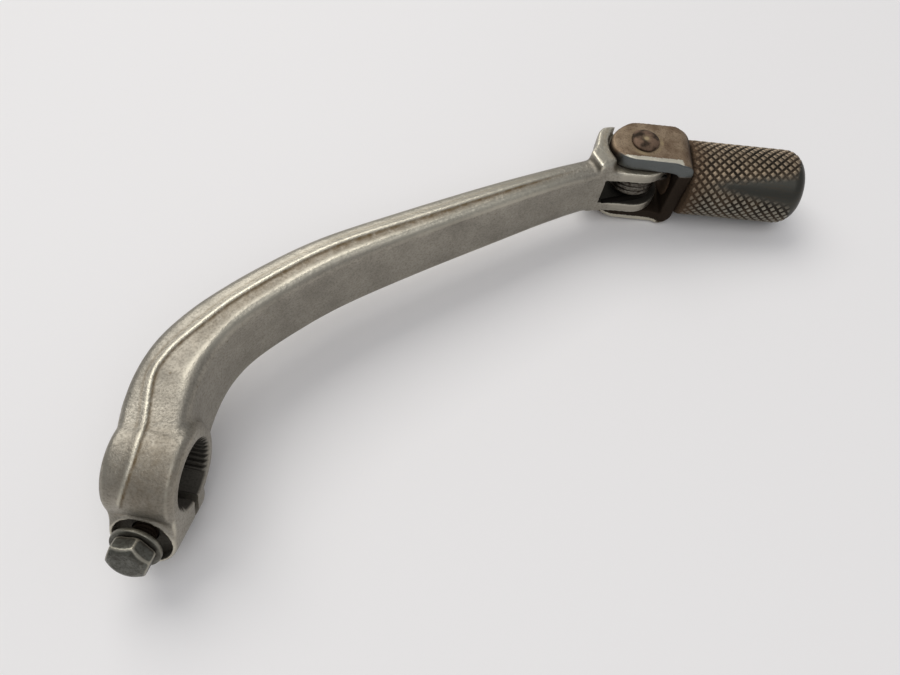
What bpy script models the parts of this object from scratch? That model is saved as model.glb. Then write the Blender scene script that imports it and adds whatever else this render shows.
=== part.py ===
"""Folding gear shift lever for a motorcycle, modelled as the pieces it is made of.

Frame: the origin is on the axis of the splined bore, at the middle of the clamp boss.
+X runs along the bore, out of its outboard mouth. +Y is forward, the way the arm leaves
the boss. +Z is up, and is the axis that the tip folds about.
"""

import math

import bmesh
import bpy
from mathutils import Matrix, Vector

MM = 0.001

# ---- driving dimensions -------------------------------------------------------------
GAP = 0.25 * MM  # clearance between pieces that touch

# Clamp boss: its bore takes the splined shift shaft, and a slit lets the bolt close it.
BOSS_RADIUS = 10.2 * MM
BOSS_LENGTH = 14.2 * MM
BOSS_CHAMFER = 1.1 * MM
BORE_RADIUS = 7.0 * MM
SPLINE_COUNT = 36
SPLINE_DEPTH = 0.55 * MM
PLAIN_HALF_ANGLE = math.radians(41)  # the bore has no teeth this far each side of the slit
SLIT_WIDTH = 1.8 * MM
CLAMP_TILT = math.radians(23)  # the slit leans back from straight down by this angle

# Bolt lug across the slit. Lengths along the bolt are measured from the slit's middle.
BOLT_OFFSET = 10.4 * MM  # from the bore's axis to the bolt's axis
LUG_RADIUS = 6.7 * MM
LUG_SIDE = 0.4 * MM  # the lug stands this much outboard of the boss's middle
LUG_HEAD_END = 9.9 * MM
LUG_THREAD_END = 6.0 * MM
LUG_ROUNDING = 2.6 * MM
POCKET_RADIUS = 5.9 * MM
POCKET_DEPTH = 2.6 * MM
BOLT_RADIUS = 2.5 * MM
WASHER_RADIUS = 5.1 * MM
WASHER_THICKNESS = 1.0 * MM
WASHER_FACE = 10.8 * MM  # the washer stands off its seat, as the bolt is not done up
HEX_ACROSS_FLATS = 8.0 * MM
HEX_HEIGHT = 3.5 * MM
HEX_TURN = 12  # degrees, the way the head happens to sit
BOLT_END = 4.0 * MM  # the point stops this far past the slit

# Arm: centre points in plan, with the half width and half height of its section.
ARM_STATIONS = (
    (-0.4, 1.5, 6.3, 9.3),
    (-1.6, 7.5, 6.5, 9.7),
    (-2.1, 14.0, 6.4, 9.9),
    (-1.5, 20.5, 6.1, 9.8),
    (0.5, 26.8, 5.5, 9.7),
    (4.0, 33.2, 5.0, 9.6),
    (10.4, 41.6, 4.8, 9.5),
    (20.0, 51.9, 4.6, 9.3),
    (35.5, 64.8, 4.1, 8.9),
    (53.0, 78.4, 3.6, 8.5),
    (66.0, 88.0, 3.1, 8.0),
    (77.5, 95.7, 2.9, 7.6),
)
ARM_EDGE_RADIUS = 2.0 * MM
ARM_RINGS_PER_STATION = 3
ARM_CORNER_POINTS = 4

# Pivot of the folding tip, and the fork at the arm's end that holds it.
PIVOT = Vector((87.0, 102.4, 0.0)) * MM
FORK_ANGLE = math.radians(35.7)  # from +X to the fork's own axis
FORK_RADIUS = 7.8 * MM
TINE_TOP = 7.0 * MM
TINE_GAP_HALF = 4.0 * MM
SLOT_DEPTH = 11.2 * MM  # behind the pivot
SHOULDER_TOP = 9.7 * MM
HEAD_BOTTOM = 7.7 * MM
RECESS_RADIUS = 9.3 * MM  # round the ears' ends, cut into the shoulders
RECESS_INNER_RADIUS = 10.9 * MM  # on the inner side, where an ear's corner swings past
RECESS_DEPTH = 5 * MM
PIN_RADIUS = 3.0 * MM
RIVET_HEAD_RADIUS = 3.6 * MM
RIVET_HEAD_HEIGHT = 0.9 * MM

# Folding tip: a bent steel yoke and the knurled peg riveted to it.
PEG_ANGLE = math.radians(8.1)  # from +X to the peg's axis, with the tip unfolded
YOKE_HALF_HEIGHT = 11.0 * MM
EAR_THICKNESS = 3.7 * MM
EAR_HALF_WIDTH = 6.5 * MM
BASE_INNER = 9.2 * MM  # from the pivot to the yoke's cross plate
BASE_THICKNESS = 3.4 * MM
BEND_RADIUS = 3.2 * MM
PEG_RADIUS = 9.5 * MM
PEG_END = 43.4 * MM  # from the pivot
PEG_END_ROUNDING = 4.0 * MM
TENON_RADIUS = 4.0 * MM
TENON_HEAD_RADIUS = 5.0 * MM
TENON_HEAD_HEIGHT = 0.65 * MM

# Return spring and the collar that it sits on, between the fork's tines.
WIRE_RADIUS = 0.72 * MM
COIL_RADIUS = 5.55 * MM
COIL_TURNS = 4
COIL_STEPS = 16  # points to a turn
COIL_START = math.radians(-100)  # where the lower leg joins the coil, in the fork's frame
COIL_BOTTOM = -3.1 * MM
COIL_PITCH = 1.52 * MM
LOWER_LEG = 9.9 * MM
UPPER_LEG = 6.4 * MM
COLLAR_OUTER = 4.5 * MM
COLLAR_HALF_LENGTH = 3.75 * MM

# Plan of the ears' rounded ends, from the inner side round to the outer side.
EAR_END_POINTS = (
    (-0.7, 6.5), (-2.8, 6.2), (-4.4, 5.5), (-5.9, 4.4), (-7.1, 3.1), (-7.9, 1.8), (-8.3, 0.4),
    (-8.45, -1.1), (-8.3, -2.4), (-7.7, -3.6), (-6.8, -4.6), (-5.6, -5.5), (-4.2, -6.1),
    (-2.8, -6.4),
)

# ---- directions ---------------------------------------------------------------------
SLIT_DIRECTION = Vector((0, -math.sin(CLAMP_TILT), -math.cos(CLAMP_TILT)))
ALONG_BORE = Matrix.Rotation(math.pi / 2, 4, "Y")
ALONG_BOLT = Matrix.Rotation(math.pi / 2 - CLAMP_TILT, 4, "X")
AT_BOLT = Matrix.Translation(SLIT_DIRECTION * BOLT_OFFSET) @ ALONG_BOLT
AT_LUG = Matrix.Translation((LUG_SIDE, 0, 0)) @ AT_BOLT
AT_FORK = Matrix.Translation(PIVOT) @ Matrix.Rotation(FORK_ANGLE, 4, "Z")
AT_TIP = Matrix.Translation(PIVOT) @ Matrix.Rotation(PEG_ANGLE, 4, "Z")


# ---- scene --------------------------------------------------------------------------
def clear_scene():
    for obj in list(bpy.data.objects):
        bpy.data.objects.remove(obj, do_unlink=True)
    for collection in list(bpy.data.collections):
        bpy.data.collections.remove(collection)


def new_collection(name):
    collection = bpy.data.collections.new(name)
    bpy.context.scene.collection.children.link(collection)
    return collection


def add_object(name, mesh, collection, matrix=None):
    obj = bpy.data.objects.new(name, mesh)
    collection.objects.link(obj)
    if matrix is not None:
        obj.matrix_world = matrix
    return obj


def make_helper(obj):
    obj.hide_render = True
    obj.display_type = "WIRE"
    return obj


def finish_with(obj, colour, roughness, metallic):
    material = bpy.data.materials.new(obj.name + "_finish")
    material.use_nodes = True
    shader = material.node_tree.nodes["Principled BSDF"]
    shader.inputs["Base Color"].default_value = (*colour, 1)
    shader.inputs["Roughness"].default_value = roughness
    shader.inputs["Metallic"].default_value = metallic
    obj.data.materials.append(material)
    obj.data.shade_smooth()
    obj.data.set_sharp_from_angle(angle=math.radians(35))


# ---- shapes -------------------------------------------------------------------------
def turned(name, profile, collection, matrix, steps=48):
    """A profile of (radius, height) points, top to bottom, turned about its own Z."""
    mesh = bpy.data.meshes.new(name)
    points = [(radius, 0, height) for radius, height in profile]
    mesh.from_pydata(points, [(i, i + 1) for i in range(len(points) - 1)], [])
    obj = add_object(name, mesh, collection, matrix)
    screw = obj.modifiers.new("turn", "SCREW")
    screw.steps = screw.render_steps = steps
    screw.use_merge_vertices = True
    screw.merge_threshold = 0.00001
    return obj


def solid_rod(name, radius, top, bottom, collection, matrix, chamfer=0.0, steps=48):
    inner = radius - chamfer
    profile = [(0, top), (inner, top), (radius, top - chamfer)]
    profile += [(radius, bottom + chamfer), (inner, bottom), (0, bottom)]
    if not chamfer:
        profile = [(0, top), (radius, top), (radius, bottom), (0, bottom)]
    return turned(name, profile, collection, matrix, steps)


def ring(name, inner, outer, top, bottom, collection, matrix, steps=48):
    profile = [(inner, top), (outer, top), (outer, bottom), (inner, bottom), (inner, top)]
    return turned(name, profile, collection, matrix, steps)


def plate(name, outline, half_thickness, collection, matrix):
    """A flat outline in its own XY plane, extruded both ways along its Z."""
    curve = bpy.data.curves.new(name, "CURVE")
    curve.dimensions = "2D"
    curve.fill_mode = "BOTH"
    curve.extrude = half_thickness
    spline = curve.splines.new("POLY")
    spline.points.add(len(outline) - 1)
    for point, (x, y) in zip(spline.points, outline):
        point.co = (x, y, 0, 1)
    spline.use_cyclic_u = True
    drawn = add_object(name + "_outline", curve, collection)
    graph = bpy.context.evaluated_depsgraph_get()
    mesh = bpy.data.meshes.new_from_object(drawn.evaluated_get(graph))
    bpy.data.objects.remove(drawn, do_unlink=True)
    work = bmesh.new()
    work.from_mesh(mesh)
    bmesh.ops.remove_doubles(work, verts=work.verts, dist=0.000001)
    bmesh.ops.recalc_face_normals(work, faces=work.faces)
    work.to_mesh(mesh)
    work.free()
    return add_object(name, mesh, collection, matrix)


def box(name, low, high, collection, matrix):
    work = bmesh.new()
    bmesh.ops.create_cube(work, size=1)
    for vertex in work.verts:
        vertex.co = [lo + (hi - lo) * (co + 0.5) for lo, hi, co in zip(low, high, vertex.co)]
    mesh = bpy.data.meshes.new(name)
    work.to_mesh(mesh)
    work.free()
    return add_object(name, mesh, collection, matrix)


def arc(radius, start, end, count, centre=(0, 0)):
    """Points on an arc, angles in degrees."""
    angles = [math.radians(start + (end - start) * i / (count - 1)) for i in range(count)]
    return [(centre[0] + radius * math.cos(a), centre[1] + radius * math.sin(a)) for a in angles]


def boolean(target, other, operation):
    modifier = target.modifiers.new(other.name, "BOOLEAN")
    modifier.operation = operation
    modifier.solver = "EXACT"
    modifier.object = make_helper(other)


# ---- lever arm ----------------------------------------------------------------------
def smooth_stations():
    """Catmull-Rom points through the arm's stations: x, y, half width, half height."""
    rows = [[value * MM for value in row] for row in ARM_STATIONS]
    first = [2 * a - b for a, b in zip(rows[0], rows[1])]
    last = [2 * a - b for a, b in zip(rows[-1], rows[-2])]
    rows = [first, *rows, last]
    smooth = []
    for i in range(1, len(rows) - 2):
        for step in range(ARM_RINGS_PER_STATION):
            t = step / ARM_RINGS_PER_STATION
            smooth.append([catmull_rom(*values, t) for values in zip(*rows[i - 1 : i + 3])])
    smooth.append(rows[-2])
    return smooth


def catmull_rom(a, b, c, d, t):
    return 0.5 * (2 * b + (c - a) * t + (2 * a - 5 * b + 4 * c - d) * t**2
                  + (3 * b - a - 3 * c + d) * t**3)


def rounded_section(half_width, half_height):
    """A rounded rectangle as (across, up) points, anticlockwise from its right side."""
    across = half_width - ARM_EDGE_RADIUS
    up = half_height - ARM_EDGE_RADIUS
    corners = ((across, up, 0), (-across, up, 90), (-across, -up, 180), (across, -up, 270))
    points = []
    for x, y, start in corners:
        points += arc(ARM_EDGE_RADIUS, start, start + 90, ARM_CORNER_POINTS, (x, y))
    return points


def make_arm_bar(collection):
    """The bar between boss and fork: a loft, because both width and height taper."""
    stations = smooth_stations()
    work = bmesh.new()
    loops = []
    for i, (x, y, half_width, half_height) in enumerate(stations):
        before = stations[max(i - 1, 0)]
        after = stations[min(i + 1, len(stations) - 1)]
        forward = Vector((after[0] - before[0], after[1] - before[1])).normalized()
        right = Vector((forward.y, -forward.x))
        loops.append([
            work.verts.new((x + right.x * across, y + right.y * across, up))
            for across, up in rounded_section(half_width, half_height)
        ])
    for near, far in zip(loops, loops[1:]):
        for i in range(len(near)):
            j = (i + 1) % len(near)
            work.faces.new((near[i], near[j], far[j], far[i]))
    work.faces.new(loops[0])
    work.faces.new(loops[-1])
    bmesh.ops.recalc_face_normals(work, faces=work.faces)
    mesh = bpy.data.meshes.new("lever_arm")
    work.to_mesh(mesh)
    work.free()
    return add_object("lever_arm", mesh, collection)


def fork_outline():
    """Plan of the fork's head about the pivot: a round nose, tapering flanks and one
    fuller shoulder on the outer side of the bend."""
    near_side = [(-13.8, -2.8), (-11.5, -3.1), (-6.6, -5.3)]
    far_side = [(-2.6, 7.9), (-4.4, 8.7), (-6.4, 9.1), (-8.2, 8.3), (-11.4, 4.3), (-13.8, 2.8)]
    outline = [(x * MM, y * MM) for x, y in near_side]
    outline += arc(FORK_RADIUS, -117, 102, 24)
    return outline + [(x * MM, y * MM) for x, y in far_side]


def recess_outline():
    """Plan of the step that the yoke's ears turn in, wider on the inner side of the bend."""
    return arc(RECESS_RADIUS, -5, 192, 42) + arc(RECESS_INNER_RADIUS, 197, 350, 30)


def spline_outline():
    """Bore with straight-sided teeth, and a plain stretch each side of the slit."""
    pitch = 2 * math.pi / SPLINE_COUNT
    slit_angle = -CLAMP_TILT
    points = []
    for i in range(SPLINE_COUNT):
        middle = (i + 0.5) * pitch
        from_slit = abs(math.remainder(middle - slit_angle, 2 * math.pi))
        tip = BORE_RADIUS if from_slit < PLAIN_HALF_ANGLE else BORE_RADIUS - SPLINE_DEPTH
        for radius, share in ((BORE_RADIUS, -0.42), (BORE_RADIUS, -0.20), (tip, 0.0), (tip, 0.3)):
            angle = middle + share * pitch
            points.append((radius * math.cos(angle), radius * math.sin(angle)))
    return points


def lug_profile():
    """Lug about the bolt's axis: a square rim at the head's end, a round one at the other."""
    rim = 0.4 * MM
    low = -LUG_THREAD_END
    high = LUG_HEAD_END
    profile = [(0, high), (LUG_RADIUS - rim, high), (LUG_RADIUS, high - rim)]
    profile += arc(LUG_ROUNDING, 0, -90, 5, (LUG_RADIUS - LUG_ROUNDING, low + LUG_ROUNDING))
    return profile + [(0, low)]


def make_lever_arm(collection, helpers):
    arm = make_arm_bar(collection)
    half = BOSS_LENGTH / 2
    boss = solid_rod("boss_blank", BOSS_RADIUS, half, -half, helpers, ALONG_BORE, BOSS_CHAMFER, 64)
    lug = turned("lug_blank", lug_profile(), helpers, AT_LUG, 40)
    neck = box("lug_neck", (-LUG_RADIUS - LUG_SIDE + 0.1 * MM, 3 * MM, 2 * MM - LUG_THREAD_END),
               (LUG_RADIUS - LUG_SIDE - 0.1 * MM, BOLT_OFFSET, LUG_HEAD_END - 0.7 * MM), helpers,
               ALONG_BOLT @ Matrix.Rotation(math.pi, 4, "Z"))
    lift = Matrix.Translation((0, 0, (SHOULDER_TOP - HEAD_BOTTOM) / 2))
    head = plate("fork_blank", fork_outline(), (SHOULDER_TOP + HEAD_BOTTOM) / 2, helpers,
                 AT_FORK @ lift)
    for blank in (boss, lug, neck, head):
        boolean(arm, blank, "UNION")

    bore = plate("bore_cutter", spline_outline(), BOSS_LENGTH, helpers, ALONG_BORE)
    slit = box("slit_cutter", (-12 * MM, 4 * MM, -SLIT_WIDTH / 2),
               (12 * MM, 20 * MM, SLIT_WIDTH / 2), helpers,
               ALONG_BOLT @ Matrix.Rotation(math.pi, 4, "Z"))
    hole = solid_rod("bolt_hole_cutter", BOLT_RADIUS + GAP, 20 * MM, -20 * MM, helpers, AT_BOLT)
    pocket = solid_rod("bolt_pocket_cutter", POCKET_RADIUS, 20 * MM,
                       LUG_HEAD_END - POCKET_DEPTH, helpers, AT_LUG)
    slot = box("fork_slot_cutter", (-SLOT_DEPTH, -20 * MM, -TINE_GAP_HALF),
               (20 * MM, 20 * MM, TINE_GAP_HALF), helpers, AT_FORK)
    pin_hole = solid_rod("pin_hole_cutter", PIN_RADIUS + GAP, 20 * MM, -20 * MM, helpers, AT_FORK)
    away = Matrix.Translation((0, 0, TINE_TOP + RECESS_DEPTH))
    upper = plate("upper_recess_cutter", recess_outline(), RECESS_DEPTH, helpers, AT_FORK @ away)
    lower = plate("lower_recess_cutter", recess_outline(), RECESS_DEPTH, helpers,
                  AT_FORK @ away.inverted())
    cutters = [bore, slit, hole, pocket, upper, lower, slot, pin_hole]
    for cutter in cutters:
        boolean(arm, cutter, "DIFFERENCE")
    finish_with(arm, (0.42, 0.39, 0.34), 0.48, 0.9)


# ---- clamp hardware -----------------------------------------------------------------
def make_pinch_bolt(collection, helpers):
    seat = WASHER_FACE + WASHER_THICKNESS + GAP
    top = seat + HEX_HEIGHT
    corner = HEX_ACROSS_FLATS / math.sqrt(3)
    middle = Matrix.Translation((0, 0, (top + seat) / 2))
    bolt = plate("pinch_bolt", arc(corner, HEX_TURN, HEX_TURN + 300, 6), HEX_HEIGHT / 2, collection,
                 AT_BOLT @ middle)
    clear = corner + 1 * MM
    crown = [(0, top + 1 * MM), (corner - 1.2 * MM, top + 0.3 * MM), (clear, top - 0.8 * MM),
             (clear, seat - 1 * MM), (0, seat - 1 * MM)]
    boolean(bolt, turned("hex_crown_trim", crown, helpers, AT_BOLT, 36), "INTERSECT")
    shank = solid_rod("bolt_shank_blank", BOLT_RADIUS, seat + 1 * MM, -BOLT_END, helpers, AT_BOLT,
                      0.5 * MM, 40)
    boolean(bolt, shank, "UNION")
    finish_with(bolt, (0.30, 0.31, 0.29), 0.42, 1.0)


def make_washer(collection):
    face = WASHER_FACE
    washer = ring("pinch_bolt_washer", BOLT_RADIUS + GAP, WASHER_RADIUS, face + WASHER_THICKNESS,
                  face, collection, AT_BOLT, 40)
    finish_with(washer, (0.34, 0.35, 0.32), 0.4, 1.0)


# ---- folding tip --------------------------------------------------------------------
def yoke_profile():
    """The bent strip seen from its edge: (distance from the pivot, height)."""
    outer = BASE_INNER + BASE_THICKNESS
    end = -12 * MM
    inside = YOKE_HALF_HEIGHT - EAR_THICKNESS
    inner_bend = 0.7 * MM
    high = YOKE_HALF_HEIGHT - BEND_RADIUS
    points = [(end, -YOKE_HALF_HEIGHT)]
    points += arc(BEND_RADIUS, -90, 0, 6, (outer - BEND_RADIUS, -high))
    points += arc(BEND_RADIUS, 0, 90, 6, (outer - BEND_RADIUS, high))
    points += [(end, YOKE_HALF_HEIGHT), (end, inside)]
    points += arc(inner_bend, 90, 0, 3, (BASE_INNER - inner_bend, inside - inner_bend))
    points += arc(inner_bend, 0, -90, 3, (BASE_INNER - inner_bend, -inside + inner_bend))
    return points + [(end, -inside)]


def ear_plan():
    """Plan of both ears and the cross plate, which is cut back at its inner corner."""
    width = EAR_HALF_WIDTH
    far = BASE_INNER + BASE_THICKNESS + 1 * MM
    front = -6.9 * MM
    points = [(x * MM, y * MM) for x, y in EAR_END_POINTS]
    return points + [(8.2 * MM, -width), (BASE_INNER, front), (far, front), (far, 3.4 * MM),
                     (8.4 * MM, width)]


def make_tip_yoke(collection, helpers):
    stand = Matrix.Rotation(math.pi / 2, 4, "X")
    yoke = plate("tip_yoke", yoke_profile(), 8 * MM, collection, AT_TIP @ stand)
    plan = plate("yoke_plan_trim", ear_plan(), 15 * MM, helpers, AT_TIP)
    boolean(yoke, plan, "INTERSECT")
    pin_hole = solid_rod("yoke_pin_hole_cutter", PIN_RADIUS + GAP, 15 * MM, -15 * MM, helpers,
                         AT_TIP)
    along_peg = AT_TIP @ Matrix.Rotation(math.pi / 2, 4, "Y")
    tenon_hole = solid_rod("yoke_tenon_hole_cutter", TENON_RADIUS + GAP, 20 * MM, 5 * MM, helpers,
                           along_peg)
    boolean(yoke, pin_hole, "DIFFERENCE")
    boolean(yoke, tenon_hole, "DIFFERENCE")
    finish_with(yoke, (0.20, 0.15, 0.11), 0.55, 0.8)


def make_toe_peg(collection):
    along_peg = AT_TIP @ Matrix.Rotation(math.pi / 2, 4, "Y")
    start = BASE_INNER + BASE_THICKNESS + GAP
    tenon_end = BASE_INNER - GAP
    rounding = PEG_END_ROUNDING
    profile = [(0, PEG_END)]
    profile += arc(rounding, 90, 0, 7, (PEG_RADIUS - rounding, PEG_END - rounding))
    profile += [(PEG_RADIUS, start + 0.6 * MM), (PEG_RADIUS - 0.6 * MM, start),
                (TENON_RADIUS, start), (TENON_RADIUS, tenon_end), (TENON_HEAD_RADIUS, tenon_end),
                (TENON_HEAD_RADIUS - 0.3 * MM, tenon_end - TENON_HEAD_HEIGHT),
                (0, tenon_end - TENON_HEAD_HEIGHT)]
    peg = turned("toe_peg", profile, collection, along_peg, 56)
    finish_with(peg, (0.16, 0.13, 0.10), 0.5, 0.9)


def make_pivot_pin(collection):
    seat = YOKE_HALF_HEIGHT + GAP
    head = RIVET_HEAD_RADIUS
    dome = [(0, 1.0), (0.45, 0.92), (0.8, 0.62), (1.0, 0.2)]
    upper = [(r * head, seat + h * RIVET_HEAD_HEIGHT) for r, h in dome]
    lower = [(r, -h) for r, h in reversed(upper)]
    profile = [*upper, (head, seat), (PIN_RADIUS, seat), (PIN_RADIUS, -seat), (head, -seat), *lower]
    pin = turned("pivot_pin", profile, collection, AT_TIP, 36)
    finish_with(pin, (0.14, 0.08, 0.06), 0.6, 0.8)


# ---- return spring ------------------------------------------------------------------
def spring_path():
    """Wire centre line about the pivot, in the fork's frame: the lower leg lies in the back of
    the slot, the coil climbs round the collar, and the upper leg bears on the toe peg's end."""
    coil = []
    for i in range(COIL_TURNS * COIL_STEPS + 1):
        angle = COIL_START + 2 * math.pi * i / COIL_STEPS
        coil.append(Vector((COIL_RADIUS * math.cos(angle), COIL_RADIUS * math.sin(angle),
                            COIL_BOTTOM + COIL_PITCH * i / COIL_STEPS)))
    tangent = Vector((-math.sin(COIL_START), math.cos(COIL_START), 0))
    return [coil[0] - tangent * LOWER_LEG, *coil, coil[-1] + tangent * UPPER_LEG]


def make_torsion_spring(collection):
    path = spring_path()
    curve = bpy.data.curves.new("torsion_spring", "CURVE")
    curve.dimensions = "3D"
    curve.bevel_depth = WIRE_RADIUS
    curve.bevel_resolution = 1
    curve.use_fill_caps = True
    spline = curve.splines.new("POLY")
    spline.points.add(len(path) - 1)
    for point, co in zip(spline.points, path):
        point.co = (*co, 1)
    spring = add_object("torsion_spring", curve, collection, AT_FORK)
    material = bpy.data.materials.new("torsion_spring_finish")
    material.use_nodes = True
    shader = material.node_tree.nodes["Principled BSDF"]
    shader.inputs["Base Color"].default_value = (0.10, 0.10, 0.09, 1)
    shader.inputs["Roughness"].default_value = 0.45
    shader.inputs["Metallic"].default_value = 0.9
    curve.materials.append(material)
    return spring


def make_spring_collar(collection):
    collar = ring("spring_collar", PIN_RADIUS + GAP, COLLAR_OUTER, COLLAR_HALF_LENGTH,
                  -COLLAR_HALF_LENGTH, collection, AT_FORK, 32)
    finish_with(collar, (0.16, 0.15, 0.14), 0.5, 0.9)


def main():
    clear_scene()
    lever = new_collection("gear_shift_lever")
    helpers = new_collection("cutters")
    make_lever_arm(lever, helpers)
    make_pinch_bolt(lever, helpers)
    make_washer(lever)
    make_tip_yoke(lever, helpers)
    make_toe_peg(lever)
    make_pivot_pin(lever)
    make_torsion_spring(lever)
    make_spring_collar(lever)


main()
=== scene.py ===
"""Folding gear shift lever for a motorcycle: detailed pieces, their finishes and a stage.

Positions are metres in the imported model's frame: the origin is on the splined bore's axis, +X
runs out of its outboard mouth, +Y forward along the arm and +Z up, along the fold axis.
"""

import math

import bmesh
import bpy
import numpy as np
from mathutils import Matrix, Vector
from mathutils.kdtree import KDTree


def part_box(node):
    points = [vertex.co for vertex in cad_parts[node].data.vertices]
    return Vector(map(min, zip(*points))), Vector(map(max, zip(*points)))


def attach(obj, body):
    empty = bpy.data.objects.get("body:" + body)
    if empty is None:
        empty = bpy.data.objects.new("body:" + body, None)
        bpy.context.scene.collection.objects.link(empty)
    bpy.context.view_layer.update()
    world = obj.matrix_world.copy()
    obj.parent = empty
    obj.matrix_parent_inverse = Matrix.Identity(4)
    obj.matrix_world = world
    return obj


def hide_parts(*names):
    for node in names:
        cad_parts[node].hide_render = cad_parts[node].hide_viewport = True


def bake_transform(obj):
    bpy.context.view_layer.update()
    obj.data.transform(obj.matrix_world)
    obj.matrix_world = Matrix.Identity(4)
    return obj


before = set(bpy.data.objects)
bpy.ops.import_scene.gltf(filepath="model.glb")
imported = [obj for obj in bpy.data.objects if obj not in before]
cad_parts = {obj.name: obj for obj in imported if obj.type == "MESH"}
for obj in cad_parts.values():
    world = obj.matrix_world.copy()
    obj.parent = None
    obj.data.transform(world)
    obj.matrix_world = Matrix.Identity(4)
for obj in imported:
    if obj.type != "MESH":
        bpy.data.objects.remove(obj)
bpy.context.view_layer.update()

bl_info = {
    "name": "Gear shift lever",
    "version": (1, 0, 0),
    "blender": (4, 5, 0),
    "location": "View3D > Sidebar > Lever",
    "description": "Builds a folding motorcycle gear shift lever piece by piece",
    "category": "Add Mesh",
}

MM = 0.001

# ---- sizes shared by the pieces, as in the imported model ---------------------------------
GAP = 0.25 * MM
CUT_REACH = 20 * MM  # how far a cutter runs past what it cuts
BOSS_RADIUS = 10.2 * MM
BOSS_HALF = 7.1 * MM
BORE_RADIUS = 7.0 * MM
SPLINE_DEPTH = 0.55 * MM
BORE_LEAD_IN = 0.45 * MM
BOSS_CHAMFER = 1.1 * MM
SPLINE_COUNT = 36
PLAIN_HALF_ANGLE = math.radians(41)
SLIT_WIDTH = 1.8 * MM
CLAMP_TILT = math.radians(23)
BOLT_OFFSET = 10.4 * MM
LUG_RADIUS = 6.7 * MM
LUG_SIDE = 0.4 * MM
LUG_HEAD_END = 9.9 * MM
LUG_THREAD_END = 6.0 * MM
POCKET_RADIUS = 5.9 * MM
POCKET_DEPTH = 2.6 * MM
BOLT_RADIUS = 2.5 * MM
WASHER_RADIUS = 5.1 * MM
WASHER_THICKNESS = 1.0 * MM
WASHER_FACE = 10.8 * MM
HEX_ACROSS_FLATS = 8.0 * MM
HEX_TURN = 12
HEX_HEIGHT = 3.5 * MM
BOLT_END = 4.0 * MM
THREAD_PITCH = 0.8 * MM
THREAD_DEPTH = 0.3 * MM
PLAIN_NECK = 2 * MM

# Arm centre points in plan, with the half width and half height of its section, in mm.
ARM_STATIONS = (
    (-0.4, 1.5, 6.3, 9.3), (-1.6, 7.5, 6.5, 9.7), (-2.1, 14.0, 6.4, 9.9), (-1.5, 20.5, 6.1, 9.8),
    (0.5, 26.8, 5.5, 9.7), (4.0, 33.2, 5.0, 9.6), (10.4, 41.6, 4.8, 9.5), (20.0, 51.9, 4.6, 9.3),
    (35.5, 64.8, 4.1, 8.9), (53.0, 78.4, 3.6, 8.5), (66.0, 88.0, 3.1, 8.0), (77.5, 95.7, 2.9, 7.6),
)
ARM_EDGE_RADIUS = 2.0 * MM
# Foot of the trimmed flash line along the arm's top, and the distance from it to the top's
# outboard ridge: x, y, z, distance, in mm. It starts on the back of the boss.
FLASH_LINE = (
    (-2.9, -10.2, 1.5, 9.9), (-2.2, -9.1, 5.0, 9.5), (-1.15, -6.2, 8.3, 8.4),
    (-0.9, -2.9, 9.9, 7.3), (-1.0, 1.5, 10.2, 6.4), (-2.0, 6.2, 10.0, 6.2),
    (-2.9, 9.3, 10.0, 6.1), (-3.7, 12.5, 10.0, 5.9), (-4.1, 15.1, 10.0, 5.8),
    (-3.7, 17.0, 10.0, 5.6), (-3.0, 19.9, 9.9, 5.3), (-1.8, 23.0, 9.8, 5.0),
    (1.0, 27.5, 9.7, 4.3), (3.0, 31.7, 9.6, 3.8), (6.2, 36.4, 9.5, 3.5), (14.9, 47.0, 9.4, 3.1),
    (20.2, 52.5, 9.3, 3.0), (29.7, 60.4, 9.1, 2.8), (42.0, 69.0, 8.8, 2.5),
    (54.8, 79.5, 8.4, 2.3), (67.2, 88.3, 8.0, 2.1), (76.0, 94.6, 7.7, 2.0),
)
FLASH_BOSS_POINTS = 5  # the first points, which lie on the boss
FLASH_STEPS = 14  # steps from one point to the next

PIVOT = Vector((87.0, 102.4, 0.0)) * MM
FORK_ANGLE = math.radians(35.7)
FORK_RADIUS = 7.8 * MM
TINE_TOP = 7.0 * MM
TINE_GAP_HALF = 4.0 * MM
SLOT_DEPTH = 11.2 * MM
SHOULDER_TOP = 9.7 * MM
HEAD_BOTTOM = 7.7 * MM
RECESS_RADIUS = 8.8 * MM
RECESS_INNER_RADIUS = 10.9 * MM
PIN_RADIUS = 3.0 * MM
RIVET_HEAD_RADIUS = 3.6 * MM
RIVET_HEAD_HEIGHT = 0.9 * MM

PEG_ANGLE = math.radians(8.1)
YOKE_HALF_HEIGHT = 11.0 * MM
EAR_THICKNESS = 3.7 * MM
EAR_HALF_WIDTH = 6.5 * MM
BASE_INNER = 9.2 * MM
BASE_THICKNESS = 3.4 * MM
BEND_RADIUS = 3.2 * MM
PEG_RADIUS = 9.5 * MM
PEG_END = 43.4 * MM
PEG_END_ROUNDING = 4.0 * MM
TENON_RADIUS = 4.0 * MM
TENON_HEAD_RADIUS = 5.0 * MM
TENON_HEAD_HEIGHT = 0.65 * MM
TENON_HEAD_END = BASE_INNER - GAP - TENON_HEAD_HEIGHT
# Degrees round the peg from its own x axis, which points down: half a turn to its top, and on
# towards the side that the boot rubs.
WORN_ANGLE = 180 + 52
EAR_END_POINTS = (
    (-0.7, 6.5), (-2.8, 6.2), (-4.4, 5.5), (-5.9, 4.4), (-7.1, 3.1), (-7.9, 1.8), (-8.3, 0.4),
    (-8.45, -1.1), (-8.3, -2.4), (-7.7, -3.6), (-6.8, -4.6), (-5.6, -5.5), (-4.2, -6.1),
    (-2.8, -6.4),
)

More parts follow.
